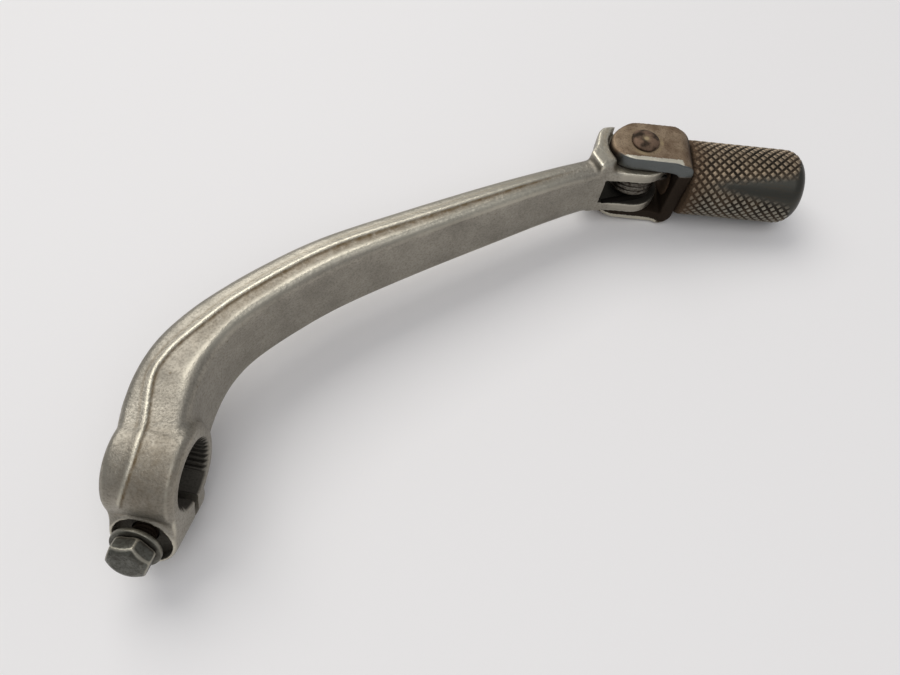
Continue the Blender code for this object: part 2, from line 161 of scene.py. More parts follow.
WIRE_RADIUS = 0.72 * MM
COIL_RADIUS = 5.55 * MM
COIL_TURNS = 4
COIL_STEPS = 40
COIL_START = math.radians(-100)
COIL_BOTTOM = -3.1 * MM
COIL_PITCH = 1.52 * MM
LOWER_LEG = 9.9 * MM
UPPER_LEG = 6.4 * MM
COLLAR_OUTER = 4.5 * MM
COLLAR_HALF_LENGTH = 3.75 * MM

TABLE_REACH = 3.0
TABLE_THICKNESS = 20 * MM
STAGE_MIDDLE = Vector((0.06, 0.05, 0))
# Name, place, width and height, watts and colour.
LIGHTS = (
    ("window_light", (-0.60, 0.75, 1.15), (1.3, 1.0), 11.0, (1.0, 0.985, 0.955)),
    ("ceiling_light", (0.25, -0.50, 1.25), (1.2, 1.2), 5.6, (0.99, 0.99, 1.0)),
)
ROOM_COLOUR, ROOM_STRENGTH = "#E4E6EA", 0.5
CAMERA_PLACE = (0.051936, -0.040379, 0.138954)
CAMERA_TURN = (30.143, -5.293, 10.635)  # degrees
CAMERA_LENS = 29.204
CAMERA_NEAREST = 1 * MM

SLIT_DIRECTION = Vector((0, -math.sin(CLAMP_TILT), -math.cos(CLAMP_TILT)))
ALONG_BORE = Matrix.Rotation(math.pi / 2, 4, "Y")
ALONG_BOLT = Matrix.Rotation(math.pi / 2 - CLAMP_TILT, 4, "X")
ALONG_SLIT = ALONG_BOLT @ Matrix.Rotation(math.pi, 4, "Z")
AT_BOLT = Matrix.Translation(SLIT_DIRECTION * BOLT_OFFSET) @ ALONG_BOLT
AT_LUG = Matrix.Translation((LUG_SIDE, 0, 0)) @ AT_BOLT
AT_FORK = Matrix.Translation(PIVOT) @ Matrix.Rotation(FORK_ANGLE, 4, "Z")
AT_TIP = Matrix.Translation(PIVOT) @ Matrix.Rotation(PEG_ANGLE, 4, "Z")
ALONG_PEG = AT_TIP @ Matrix.Rotation(math.pi / 2, 4, "Y")


def linear(code):
    """A hex sRGB colour as linear RGBA."""
    values = [int(code[i : i + 2], 16) / 255 for i in (1, 3, 5)]
    return (*[v / 12.92 if v <= 0.04045 else ((v + 0.055) / 1.055) ** 2.4 for v in values], 1.0)


def smooth(low, high, values):
    """0 below low, 1 above high, easing between. low may be above high."""
    t = np.clip((values - low) / (high - low), 0, 1)
    return t * t * (3 - 2 * t)


# ---- mesh making ------------------------------------------------------------------------
def arc(radius, start, end, count, centre=(0, 0)):
    """Points on an arc, angles in degrees."""
    angles = [math.radians(start + (end - start) * i / (count - 1)) for i in range(count)]
    return [(centre[0] + radius * math.cos(a), centre[1] + radius * math.sin(a)) for a in angles]


def catmull_rom(rows, count):
    """count points per span of a smooth curve through the rows, as an array."""
    rows = np.array(rows, float)
    rows = np.vstack([2 * rows[0] - rows[1], rows, 2 * rows[-1] - rows[-2]])
    made = []
    for a, b, c, d in zip(rows, rows[1:], rows[2:], rows[3:]):
        for t in np.arange(count) / count:
            made.append(0.5 * (2 * b + (c - a) * t + (2 * a - 5 * b + 4 * c - d) * t**2
                               + (3 * b - a - 3 * c + d) * t**3))
    made.append(rows[-2])
    return np.array(made)


def revolve(profile, steps, matrix, loop=False):
    """(points, faces) of (radius, height) points turned about their own Z."""
    points, rings, faces = [], [], []
    for radius, height in profile:
        if radius < 1e-9:
            rings.append([len(points)] * steps)
            points.append((0, 0, height))
        else:
            rings.append(list(range(len(points), len(points) + steps)))
            turn = 2 * math.pi / steps
            points += [(radius * math.cos(i * turn), radius * math.sin(i * turn), height)
                       for i in range(steps)]
    for upper, lower in zip(rings, rings[1:] + (rings[:1] if loop else [])):
        for i in range(steps):
            j = (i + 1) % steps
            face = tuple(dict.fromkeys((upper[i], lower[i], lower[j], upper[j])))
            if len(face) > 2:
                faces.append(face)
    return [matrix @ Vector(p) for p in points], faces


def ring_faces(first, second, size):
    """Quads between two rings of points, from the index of each ring's first point."""
    following = [(i + 1) % size for i in range(size)]
    return [(first + i, first + j, second + j, second + i) for i, j in enumerate(following)]


def extrude(outline, low, high, matrix):
    """(points, faces) of a flat outline raised from low to high along its own Z."""
    count = len(outline)
    points = [(x, y, low) for x, y in outline] + [(x, y, high) for x, y in outline]
    faces = [tuple(range(count)), tuple(range(count, 2 * count)), *ring_faces(0, count, count)]
    return [matrix @ Vector(p) for p in points], faces


def drill(radius, top, bottom, steps, matrix):
    """(points, faces) of a round cutter along the matrix's own Z."""
    return revolve([(0, top), (radius, top), (radius, bottom), (0, bottom)], steps, matrix)


def loft(rings):
    """(points, faces) of equal rings joined in order, with flat ends."""
    points = [p for ring in rings for p in ring]
    size, faces = len(rings[0]), []
    for k in range(len(rings) - 1):
        faces += ring_faces(k * size, (k + 1) * size, size)
    faces += [tuple(range(size)), tuple(range(len(points) - size, len(points)))]
    return points, faces


def mesh_object(name, solids):
    """One object from (points, faces) solids, with every face turned outwards."""
    points, faces = [], []
    for some_points, some_faces in solids:
        start = len(points)
        points += [tuple(p) for p in some_points]
        faces += [tuple(start + i for i in face) for face in some_faces]
    mesh = bpy.data.meshes.new(name)
    mesh.from_pydata(points, [], faces)
    work = bmesh.new()
    work.from_mesh(mesh)
    bmesh.ops.recalc_face_normals(work, faces=work.faces)
    work.to_mesh(mesh)
    work.free()
    obj = bpy.data.objects.new(name, mesh)
    bpy.context.scene.collection.objects.link(obj)
    return obj


def apply_modifiers(obj):
    graph = bpy.context.evaluated_depsgraph_get()
    made = bpy.data.meshes.new_from_object(obj.evaluated_get(graph))
    obj.modifiers.clear()
    obj.data = made


def combine(obj, solids, operation):
    """Adds, keeps or cuts each solid in turn, then drops it."""
    for index, solid in enumerate(solids):
        tool = mesh_object(f"{obj.name}_tool_{index}", [solid])
        modifier = obj.modifiers.new("combine", "BOOLEAN")
        modifier.operation = operation
        modifier.solver = "EXACT"
        modifier.object = tool
        apply_modifiers(obj)
        bpy.data.objects.remove(tool, do_unlink=True)


def skin_over(obj, spacing):
    """One even skin of quads over everything in the object."""
    modifier = obj.modifiers.new("skin", "REMESH")
    modifier.mode = "VOXEL"
    modifier.voxel_size = spacing
    apply_modifiers(obj)


def points_of(obj):
    co = np.empty(len(obj.data.vertices) * 3)
    obj.data.vertices.foreach_get("co", co)
    return co.reshape(-1, 3)


def normals_of(obj):
    values = np.empty(len(obj.data.vertices) * 3)
    obj.data.vertex_normals.foreach_get("vector", values)
    return values.reshape(-1, 3)


def set_points(obj, co):
    obj.data.vertices.foreach_set("co", co.ravel())
    obj.data.update()


def in_frame(co, matrix):
    """Points in mm along the matrix's own axes."""
    return (co - np.array(matrix.translation)) @ np.array(matrix.to_3x3()) / MM


def edge_ends(obj):
    """The two point indices of each edge, as two columns."""
    ends = np.empty(len(obj.data.edges) * 2, np.int64)
    obj.data.edges.foreach_get("vertices", ends)
    return ends.reshape(-1, 2).T


def find_nearest(points, wanted):
    """The index of the nearest of some points to each of the wanted ones."""
    tree = KDTree(len(points))
    for index, point in enumerate(points):
        tree.insert(point, index)
    tree.balance()
    return np.array([tree.find(p)[1] for p in wanted])


def neighbour_mean(obj):
    """A function that averages per-point rows over each point's neighbours."""
    a, b = edge_ends(obj)
    count = len(obj.data.vertices)
    degree = np.maximum(np.bincount(a, minlength=count) + np.bincount(b, minlength=count), 1)

    def mean(rows):
        columns = [np.bincount(a, column[b], count) + np.bincount(b, column[a], count)
                   for column in rows.T]
        return np.stack(columns, 1) / degree[:, None]

    return mean


def relax(obj, rounds, weights=1.0):
    """Rounds edges by moving each point towards its neighbours' mean."""
    mean = neighbour_mean(obj)
    co = points_of(obj)
    weights = np.broadcast_to(np.asarray(weights, float), len(co))[:, None]
    for _ in range(rounds):
        co = co + 0.5 * weights * (mean(co) - co)
    set_points(obj, co)


def near(co, centre, inner, outer):
    """1 inside the inner radius of a centre in mm, 0 beyond the outer one."""
    return smooth(outer * MM, inner * MM, np.linalg.norm(co - np.array(centre) * MM, axis=1))


def edge_sharpness(obj, rounds=4):
    """How convex (above 0) or hollow (below 0) the surface is, in 1 over millimetres."""
    mean = neighbour_mean(obj)
    co = points_of(obj)
    inward = mean(co) - co
    bend = -(inward * normals_of(obj)).sum(1, keepdims=True)
    a, b = edge_ends(obj)
    spacing = np.median(np.linalg.norm(co[a] - co[b], axis=1))
    for _ in range(rounds):
        bend = 0.5 * bend + 0.5 * mean(bend)
    return 4 * bend[:, 0] / spacing**2 * MM


def store(obj, name, values):
    """A per-point number that a material reads by name."""
    attribute = obj.data.attributes.new(name, "FLOAT", "POINT")
    attribute.data.foreach_set("value", np.clip(values, -1, 1).astype(np.float32))


def carry_over(values, old_points, obj):
    """Per-point values moved to a mesh that a cut has changed, by nearest point."""
    nearest = find_nearest(old_points, points_of(obj))
    return {name: column[nearest] for name, column in values.items()}


def finish_piece(obj, material, body, nodes, sharp_angle=None):
    obj.data.materials.clear()
    obj.data.materials.append(material)
    obj.data.shade_smooth()
    if sharp_angle is not None:
        obj.data.set_sharp_from_angle(angle=math.radians(sharp_angle))
    if body:
        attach(obj, body)
    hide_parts(*nodes)


# ---- lever arm --------------------------------------------------------------------------
def arm_bar():
    """The bar between boss and fork as a loft of rounded sections."""
    stations = catmull_rom(ARM_STATIONS, 6) * MM
    rings = []
    for i, (x, y, half_width, half_height) in enumerate(stations):
        before, after = stations[max(i - 1, 0)], stations[min(i + 1, len(stations) - 1)]
        forward = Vector(after[:2] - before[:2]).normalized()
        across, up = half_width - ARM_EDGE_RADIUS, half_height - ARM_EDGE_RADIUS
        corners = ((across, up, 0), (-across, up, 90), (-across, -up, 180), (across, -up, 270))
        section = []
        for cx, cy, start in corners:
            section += arc(ARM_EDGE_RADIUS, start, start + 90, 6, (cx, cy))
        rings.append([(x + forward.y * a, y - forward.x * a, z) for a, z in section])
    return loft(rings)


def fork_outline():
    near_side = [(-13.8, -2.8), (-11.5, -3.1), (-6.6, -5.3)]
    far_side = [(-2.6, 7.9), (-4.4, 8.7), (-6.4, 9.1), (-8.2, 8.3), (-11.4, 4.3), (-13.8, 2.8)]
    outline = [(x * MM, y * MM) for x, y in near_side] + arc(FORK_RADIUS, -117, 102, 40)
    return outline + [(x * MM, y * MM) for x, y in far_side]


def bore_outline():
    """Straight-sided teeth round the bore, with a plain stretch each side of the slit."""
    pitch = 2 * math.pi / SPLINE_COUNT
    points = []
    for i in range(SPLINE_COUNT):
        middle = (i + 0.5) * pitch
        plain = abs(math.remainder(middle + CLAMP_TILT, 2 * math.pi)) < PLAIN_HALF_ANGLE
        tip = BORE_RADIUS if plain else BORE_RADIUS - SPLINE_DEPTH
        for radius, share in ((BORE_RADIUS, -0.42), (BORE_RADIUS, -0.20), (tip, 0.0), (tip, 0.3)):
            angle = middle + share * pitch
            points.append((radius * math.cos(angle), radius * math.sin(angle)))
    return points


def lug_profile():
    rim, round_off, low = 0.5 * MM, 2.6 * MM, -LUG_THREAD_END
    profile = [(0, LUG_HEAD_END), (LUG_RADIUS - rim, LUG_HEAD_END),
               (LUG_RADIUS, LUG_HEAD_END - rim)]
    profile += arc(round_off, 0, -90, 8, (LUG_RADIUS - round_off, low + round_off))
    return profile + [(0, low)]


def forging_blank(spacing):
    """The arm, boss, lug and fork head run together, with filleted joins."""
    half, chamfer = BOSS_HALF, BOSS_CHAMFER
    boss = [(0, half), (BOSS_RADIUS - chamfer, half), (BOSS_RADIUS, half - chamfer),
            (BOSS_RADIUS, chamfer - half), (BOSS_RADIUS - chamfer, -half), (0, -half)]
    left, right = -LUG_RADIUS - LUG_SIDE + 0.1 * MM, LUG_RADIUS - LUG_SIDE - 0.1 * MM
    neck = [(left, 3 * MM), (right, 3 * MM), (right, BOLT_OFFSET), (left, BOLT_OFFSET)]
    obj = mesh_object("lever_arm_visual", [
        arm_bar(),
        revolve(boss, 96, ALONG_BORE),
        revolve(lug_profile(), 64, AT_LUG),
        extrude(neck, 2 * MM - LUG_THREAD_END, LUG_HEAD_END - 0.7 * MM, ALONG_SLIT),
        extrude(fork_outline(), -HEAD_BOTTOM, SHOULDER_TOP, AT_FORK),
    ])
    skin_over(obj, spacing)
    co = points_of(obj)
    lug_join = near(co, (0, -6, -8), 3, 9) + near(co, (0, 4.5, -12), 1, 6)
    boss_join = 0.5 * near(co, (-8.5, 2, 0), 2, 12) + 0.7 * near(co, (6.2, 9, 0), 2, 9)
    boss_join += near(co, (5.6, 8.8, 7.6), 1.5, 6)
    head_join = 0.5 * near(co, (73, 92.5, 8), 1, 6) + 0.6 * near(co, (74, 92, -8), 2, 8)
    relax(obj, 40, np.clip(lug_join + boss_join + head_join, 0.05, 1))
    return obj


def raise_flash_line(obj, height, channel):
    """The trimmed flash line, the grime channel beside it and the ridge beyond, top and bottom.
    Returns how dirty each point is, with painted shade along the line's foot and seam, and how
    rubbed, with painted highlights on its crest, the ridge and the strip outside the line."""
    line = catmull_rom(FLASH_LINE, FLASH_STEPS) * MM
    boss_part = FLASH_BOSS_POINTS * FLASH_STEPS
    padded = np.pad(line, ((FLASH_STEPS, FLASH_STEPS), (0, 0)), "reflect", reflect_type="odd")
    window = np.ones(2 * FLASH_STEPS + 1) / (2 * FLASH_STEPS + 1)
    line = np.stack([np.convolve(column, window, "valid") for column in padded.T], 1)
    tangents = np.gradient(line[:, :3], axis=0)
    outward = np.stack([np.zeros(len(line)), np.minimum(line[:, 1], 0), line[:, 2]], 1)
    outward /= np.linalg.norm(outward, axis=1, keepdims=True)
    sideways = np.cross(tangents, outward)
    sideways /= np.linalg.norm(sideways, axis=1, keepdims=True)
    co, normals = points_of(obj), normals_of(obj)
    dirt_and_shade, rub_and_highlight = np.zeros(len(co)), np.zeros(len(co))
    for flip in (1, -1):
        look = co * (1, 1, flip)
        facing = normals * (1, 1, flip)
        boss_back = (facing[:, 1] < -0.3) & (look[:, 1] < 0)
        chosen = np.nonzero((facing[:, 2] > 0.15) | boss_back)[0]
        found = find_nearest(line[:, :3], look[chosen])
        offset = look[chosen] - line[found, :3]
        side = (offset * sideways[found]).sum(1) / MM
        depth = np.abs((offset * outward[found]).sum(1)) / MM
        reach = line[found, 3] / MM
        on_arm = smooth(boss_part - 16, boss_part + 6, found)
        ends = smooth(len(line) - 2, len(line) - 30, found) * smooth(0, 12, found)
        ends *= smooth(4.0, 2.5, depth) * smooth(8, 6, np.abs(side))
        if flip < 0:
            ends *= on_arm
        width = 1.5 + 0.6 * (1 - on_arm)
        bead = smooth(-width, -0.4, side) * smooth(0.24, -0.2, side)
        crest = np.exp(-(((side + 0.45) / 0.4) ** 2))
        hollow = smooth(0.0, 0.22, side) * smooth(reach, reach - 2.4, side)
        ridge = np.exp(-(((side - reach) / 0.8) ** 2))
        ridge_on = smooth(boss_part, boss_part + 55, found)
        fall = 0.10 * np.clip(-side - 1.0, 0, 5) * (0.35 + 0.65 * on_arm)
        raise_by = height * (1 + 0.4 * (1 - on_arm)) * bead
        raise_by += 0.06 * MM * ridge * ridge_on - on_arm * channel * hollow - fall * MM
        co[chosen] += (raise_by * ends)[:, None] * outward[found] * (1, 1, flip)
        # Painted shade: a dark line along the foot of the flash line's step, and another along the
        # seam beside its far flank. The channel's brown is real grime.
        foot_shade = smooth(-0.14, 0.02, side) * smooth(0.55, 0.1, side)
        far = smooth(len(line) * 0.45, len(line) * 0.8, found)
        seam_shade = np.exp(-(((side + 1.7) / 0.22) ** 2)) * on_arm
        dirt_and_shade[chosen] += ends * (0.8 * foot_shade + 0.45 * seam_shade + hollow * (0.1 + 0.55 * far))
        # Painted highlights: the bead's crest, the outboard ridge and, far along the arm, the
        # strip outside the line are lightened as if catching the light.
        rub_and_highlight[chosen] += ends * (0.35 * crest + (0.5 + 0.35 * far) * ridge_on * ridge
                               + 0.35 * far * smooth(0, -0.6, side))
    set_points(obj, co)
    relax(obj, 2)
    return np.clip(dirt_and_shade, 0, 1), np.clip(rub_and_highlight, 0, 1)


def build_lever_arm(context):
    sizes = context.scene.lever_sizes
    obj = forging_blank(sizes.skin_spacing * 1.2)
    recess = arc(RECESS_RADIUS, -5, 192, 60) + arc(RECESS_INNER_RADIUS, 197, 350, 40)
    slot = [(-SLOT_DEPTH, -CUT_REACH), (CUT_REACH, -CUT_REACH), (CUT_REACH, CUT_REACH),
            (-SLOT_DEPTH, CUT_REACH)]
    combine(obj, [
        drill(POCKET_RADIUS, CUT_REACH, LUG_HEAD_END - POCKET_DEPTH, 64, AT_LUG),
        extrude(recess, TINE_TOP, CUT_REACH, AT_FORK),
        extrude(recess, -CUT_REACH, -TINE_TOP, AT_FORK),
        extrude(slot, -TINE_GAP_HALF, TINE_GAP_HALF, AT_FORK),
    ], "DIFFERENCE")
    skin_over(obj, sizes.skin_spacing)
    relax(obj, 5)
    # The near shoulder's corner is hammered round into a ramp.
    relax(obj, 90, near(points_of(obj), (81, 93.2, 8.2), 1.2, 3.6))
    dirt_and_shade, rub_and_highlight = raise_flash_line(obj, sizes.flash_height, sizes.channel_depth)
    bend = edge_sharpness(obj)
    old_points = points_of(obj)

    slit = [(-12 * MM, 4 * MM), (12 * MM, 4 * MM), (12 * MM, 20 * MM), (-12 * MM, 20 * MM)]
    mouths = []
    for side in (1, -1):
        past, deep = side * 13 * MM, side * (BOSS_HALF - 2.5 * BORE_LEAD_IN)
        cone = [(0, past), (BORE_RADIUS + BORE_LEAD_IN + 5 * MM, past),
                (BORE_RADIUS + BORE_LEAD_IN, side * BOSS_HALF),
                (BORE_RADIUS - 1.3 * SPLINE_DEPTH, deep), (0, deep)]
        mouths.append(revolve(cone, 71, ALONG_BORE))
    combine(obj, [
        drill(BOLT_RADIUS + GAP, CUT_REACH, -CUT_REACH, 40, AT_BOLT),
        drill(PIN_RADIUS + GAP, CUT_REACH, -CUT_REACH, 48, AT_FORK),
        extrude(bore_outline(), -12 * MM, 12 * MM, ALONG_BORE),
        *mouths,
        extrude(slit, -SLIT_WIDTH / 2, SLIT_WIDTH / 2, ALONG_SLIT),
    ], "DIFFERENCE")
    kept = carry_over({"dirt_and_shade": dirt_and_shade, "rub_and_highlight": rub_and_highlight, "bend": bend}, old_points, obj)
    co = points_of(obj)
    local = in_frame(co, AT_FORK)
    reach, height = np.linalg.norm(local[:, :2], axis=1), np.abs(local[:, 2])
    # Painted shade: the fork slot's rear, the bolt pocket and the splined bore are darkened nearly
    # to black, as if shade falls inside them.
    slot_dark = smooth(4.25, 4.05, height) * smooth(-11.45, -11.15, local[:, 0])
    # Painted shade: the tines' recessed tops, under the yoke's ears, are darkened.
    under_ear_shade = smooth(11.5, 9.0, reach) * smooth(6.6, 7.2, height)
    bolt = in_frame(co, AT_LUG)
    pocket_shade = smooth(6.2, 5.6, np.linalg.norm(bolt[:, :2], axis=1))
    pocket_shade *= smooth(9.8, 9.0, bolt[:, 2])
    bore_shade = smooth(7.3, 7.0, np.linalg.norm(co[:, 1:], axis=1) / MM)
    bore_shade *= smooth(7.6, 7.0, np.abs(co[:, 0]) / MM)
    boss_patch = near(co, (1.5, -5, 9), 2, 12)
    # Painted highlight: the fork shoulders' tops and the tines' edges by the slot are lightened as
    # if lit.
    fork_top_highlight = 0.4 * smooth(8.7, 9.5, height) * smooth(17, 12, reach)
    fork_top_highlight += 0.35 * smooth(10, 9, reach) * smooth(3.9, 4.2, height)
    hollows, edges = smooth(-0.15, -0.6, kept["bend"]), smooth(0.35, 1.1, kept["bend"])
    # The dirt mark holds real grime plus painted shade under the yoke's ear and along the flash
    # line. The rub mark holds rubbed edges plus painted highlights. The deep mark is painted shade
    # only.
    marks = {
        "dirt_and_shade": kept["dirt_and_shade"] + 0.9 * under_ear_shade + 0.32 * boss_patch + 0.25 * hollows,
        "rub_and_highlight": kept["rub_and_highlight"] + fork_top_highlight + 0.9 * edges,
        "deep": 0.85 * slot_dark + 0.6 * pocket_shade + 0.75 * bore_shade,
    }
    for name, values in marks.items():
        store(obj, name, np.clip(values, 0, 1))
    finish_piece(obj, forged_aluminium(context.scene.lever_colours), "arm",
                 ["lever_arm"], 50)


# ---- clamp hardware ---------------------------------------------------------------------
def threaded_shank(top, bottom):
    """A shank with a real helical thread below its plain neck, closed at both ends."""
    steps, per_turn = 40, 10
    rows = int((top - bottom) / (THREAD_PITCH / per_turn))
    rings = []
    for k in range(rows + 1):
        z = bottom + (top - bottom) * k / rows
        ring = []
        for i in range(steps):
            phase = (z / THREAD_PITCH - i / steps) % 1
            flank = abs(2 * phase - 1)
            depth = THREAD_DEPTH * min(max(1.4 * flank - 0.2, 0), 1)
            depth *= 1 if z < WASHER_FACE - PLAIN_NECK else 0
            taper = max(0, bottom + 0.5 * MM - z)
            radius = BOLT_RADIUS - 0.02 * MM - max(depth, taper)
            angle = 2 * math.pi * i / steps
            ring.append(AT_BOLT @ Vector((radius * math.cos(angle), radius * math.sin(angle), z)))
        rings.append(ring)
    return loft(rings)


def build_clamp_hardware(context):
    sizes = context.scene.lever_sizes
    seat = WASHER_FACE + WASHER_THICKNESS + GAP
    top = seat + HEX_HEIGHT
    corner = HEX_ACROSS_FLATS / math.sqrt(3)
    hexagon = [(corner * math.cos(math.radians(HEX_TURN + 60 * i)),
                corner * math.sin(math.radians(HEX_TURN + 60 * i))) for i in range(6)]
    head = mesh_object("pinch_bolt_visual", [extrude(hexagon, seat, top, AT_BOLT)])
    crown = [(0, top + 0.4 * MM), (2.6 * MM, top + 0.15 * MM), (3.6 * MM, top - 0.2 * MM),
             (corner + 0.2 * MM, top - 0.95 * MM), (corner + 0.2 * MM, seat + 0.5 * MM),
             (corner - 0.35 * MM, seat), (0, seat)]
    combine(head, [revolve(crown, 64, AT_BOLT)], "INTERSECT")
    skin_over(head, sizes.skin_spacing * 0.55)
    relax(head, 14)
    bend = edge_sharpness(head)
    old_points = points_of(head)
    combine(head, [threaded_shank(seat + 1 * MM, -BOLT_END)], "UNION")
    kept = carry_over({"bend": bend}, old_points, head)["bend"]
    above_seat = in_frame(points_of(head), AT_BOLT)[:, 2] - seat / MM
    # Rounded corners rubbed bright, lit further by a painted highlight.
    store(head, "rub_and_highlight", 0.45 * smooth(0.5, 1.6, kept) * smooth(-0.2, 0, above_seat))
    # Painted shade: the head darkens towards the washer, and the shank below it is dark.
    store(head, "dirt_and_shade", smooth(0.9, 0.1, above_seat) + smooth(0, -0.5, above_seat))
    zinc = zinc_plated_steel(context.scene.lever_colours)
    finish_piece(head, zinc, "arm", ["pinch_bolt"], 40)

    low, high = WASHER_FACE, WASHER_FACE + WASHER_THICKNESS
    inner, outer, edge = BOLT_RADIUS + GAP, WASHER_RADIUS, 0.22 * MM
    profile = [(inner, high), (outer - edge, high), (outer - edge / 3, high - edge / 3),
               (outer, high - edge), (outer, low + edge), (outer - edge / 3, low + edge / 3),
               (outer - edge, low), (inner, low)]
    washer = mesh_object("pinch_bolt_washer_visual", [revolve(profile, 96, AT_BOLT, True)])
    radius = np.linalg.norm(in_frame(points_of(washer), AT_BOLT)[:, :2], axis=1) * MM
    # Painted highlight: the washer's rim is lightened as if lit.
    store(washer, "rub_and_highlight", smooth(outer - 1.5 * edge, outer, radius) * 0.25)
    # Painted shadow: the washer's face darkens inwards, under the hex head.
    store(washer, "dirt_and_shade", smooth(outer - edge, inner, radius))
    finish_piece(washer, zinc, "arm", ["pinch_bolt_washer"], 40)


# ---- folding tip ------------------------------------------------------------------------
def yoke_profile():
    outer, inside = BASE_INNER + BASE_THICKNESS, YOKE_HALF_HEIGHT - EAR_THICKNESS
    end, inner_bend, high = -12 * MM, 0.7 * MM, YOKE_HALF_HEIGHT - BEND_RADIUS
    points = [(end, -YOKE_HALF_HEIGHT)]
    points += arc(BEND_RADIUS, -90, 0, 12, (outer - BEND_RADIUS, -high))
    points += arc(BEND_RADIUS, 0, 90, 12, (outer - BEND_RADIUS, high))
    points += [(end, YOKE_HALF_HEIGHT), (end, inside)]
    points += arc(inner_bend, 90, 0, 5, (BASE_INNER - inner_bend, inside - inner_bend))
    points += arc(inner_bend, 0, -90, 5, (BASE_INNER - inner_bend, -inside + inner_bend))
    return points + [(end, -inside)]


def ear_plan():
    width, far, front = EAR_HALF_WIDTH, BASE_INNER + BASE_THICKNESS + 1 * MM, -6.9 * MM
    ends = catmull_rom(EAR_END_POINTS, 4) * MM
    return [tuple(p) for p in ends] + [(8.2 * MM, -width), (BASE_INNER, front), (far, front),
                                       (far, 3.4 * MM), (8.4 * MM, width)]


def build_tip_yoke(context):
    sizes = context.scene.lever_sizes
    stand = AT_TIP @ Matrix.Rotation(math.pi / 2, 4, "X")
    obj = mesh_object("tip_yoke_visual", [extrude(yoke_profile(), -8 * MM, 8 * MM, stand)])
    combine(obj, [extrude(ear_plan(), -15 * MM, 15 * MM, AT_TIP)], "INTERSECT")
    skin_over(obj, sizes.skin_spacing * 0.8)
    local = in_frame(points_of(obj), AT_TIP)
    rear = smooth(-2.5, -6.5, local[:, 0]) * smooth(9.0, 10.0, np.abs(local[:, 2]))
    relax(obj, 6)
    relax(obj, 45, rear)
    local = in_frame(points_of(obj), AT_TIP)
    # The strip's edge swells on the inside of each bend, where the metal was squeezed.
    swell = smooth(3.4, 1.2, np.hypot(local[:, 0] - 9.6, np.abs(local[:, 2]) - 8.6))
    swell *= smooth(5.0, 6.6, -local[:, 1])
    co = points_of(obj)
    co += (0.35 * MM * swell)[:, None] * -np.array(AT_TIP.to_3x3().col[1])
    set_points(obj, co)
    bend, old_points, normals = edge_sharpness(obj), points_of(obj), normals_of(obj)
    facing = normals @ np.array(AT_TIP.to_3x3())
    combine(obj, [
        drill(PIN_RADIUS + GAP, 15 * MM, -15 * MM, 48, AT_TIP),
        drill(TENON_RADIUS + GAP, CUT_REACH, 5 * MM, 48, ALONG_PEG),
    ], "DIFFERENCE")
    kept = carry_over({"bend": bend, "front": -facing[:, 1], "up": facing[:, 2]}, old_points, obj)
    local = in_frame(points_of(obj), AT_TIP)
    reach = np.linalg.norm(local[:, :2], axis=1)
    outside = smooth(9.0, 10.0, np.abs(local[:, 2]))
    on_ear = smooth(6.9, 7.4, np.abs(local[:, 2]))
    polish = smooth(0.25, 0.75, kept["front"]) * on_ear
    polish *= smooth(-7.5, -6.0, local[:, 0]) * smooth(6.4, 7.2, local[:, 2])
    upper = smooth(4.2, 5.6, -local[:, 1]) * outside * smooth(-7.5, -5.5, local[:, 0])
    store(obj, "polish", np.clip(polish, 0, 1))
    # Bright chips in the rust, partly a painted highlight along the ears' outer front edges.
    store(obj, "chip_and_highlight", np.clip(upper * smooth(10.5, 8.5, local[:, 0]), 0, 1))
    store(obj, "ring", outside * smooth(5.0, 4.4, reach) * smooth(3.4, 3.9, reach))
    # Painted shade: everything but the ears' outer faces and the polished front is darkened
    # towards dark rust.
    store(obj, "dirt_and_shade", np.clip(smooth(10.8, 9.8, np.abs(local[:, 2])) * (1 - polish), 0, 1))
    # Painted highlight along the lower ear's rounded edges, with some real rubbing.
    store(obj, "rub_and_highlight", smooth(0.5, 1.5, kept["bend"]) * smooth(-8.8, -9.6, local[:, 2]))
    finish_piece(obj, pressed_steel(context.scene.lever_colours), "tip",
                 ["tip_yoke"], 50)


def peg_profile(start):
    """(distance along the peg, radius) from the yoke's face to the middle of the worn end."""
    rounding = PEG_END_ROUNDING
    points = [(start, PEG_RADIUS - 0.7 * MM), (start + 0.5 * MM, PEG_RADIUS - 0.1 * MM)]
    flat_end = PEG_END - rounding
    cells = int(round((flat_end - start - 0.9 * MM) / (0.165 * MM)))
    points += [(start + 0.9 * MM + (flat_end - start - 0.9 * MM) * i / cells, PEG_RADIUS)
               for i in range(cells + 1)]
    for angle in range(4, 91, 3):
        a = math.radians(angle)
        points.append((flat_end + rounding * math.sin(a),
                       PEG_RADIUS - rounding * (1 - math.cos(a))))
    inner = PEG_RADIUS - rounding
    points += [(PEG_END, inner * k) for k in (0.75, 0.5, 0.25, 0.0)]
    return points


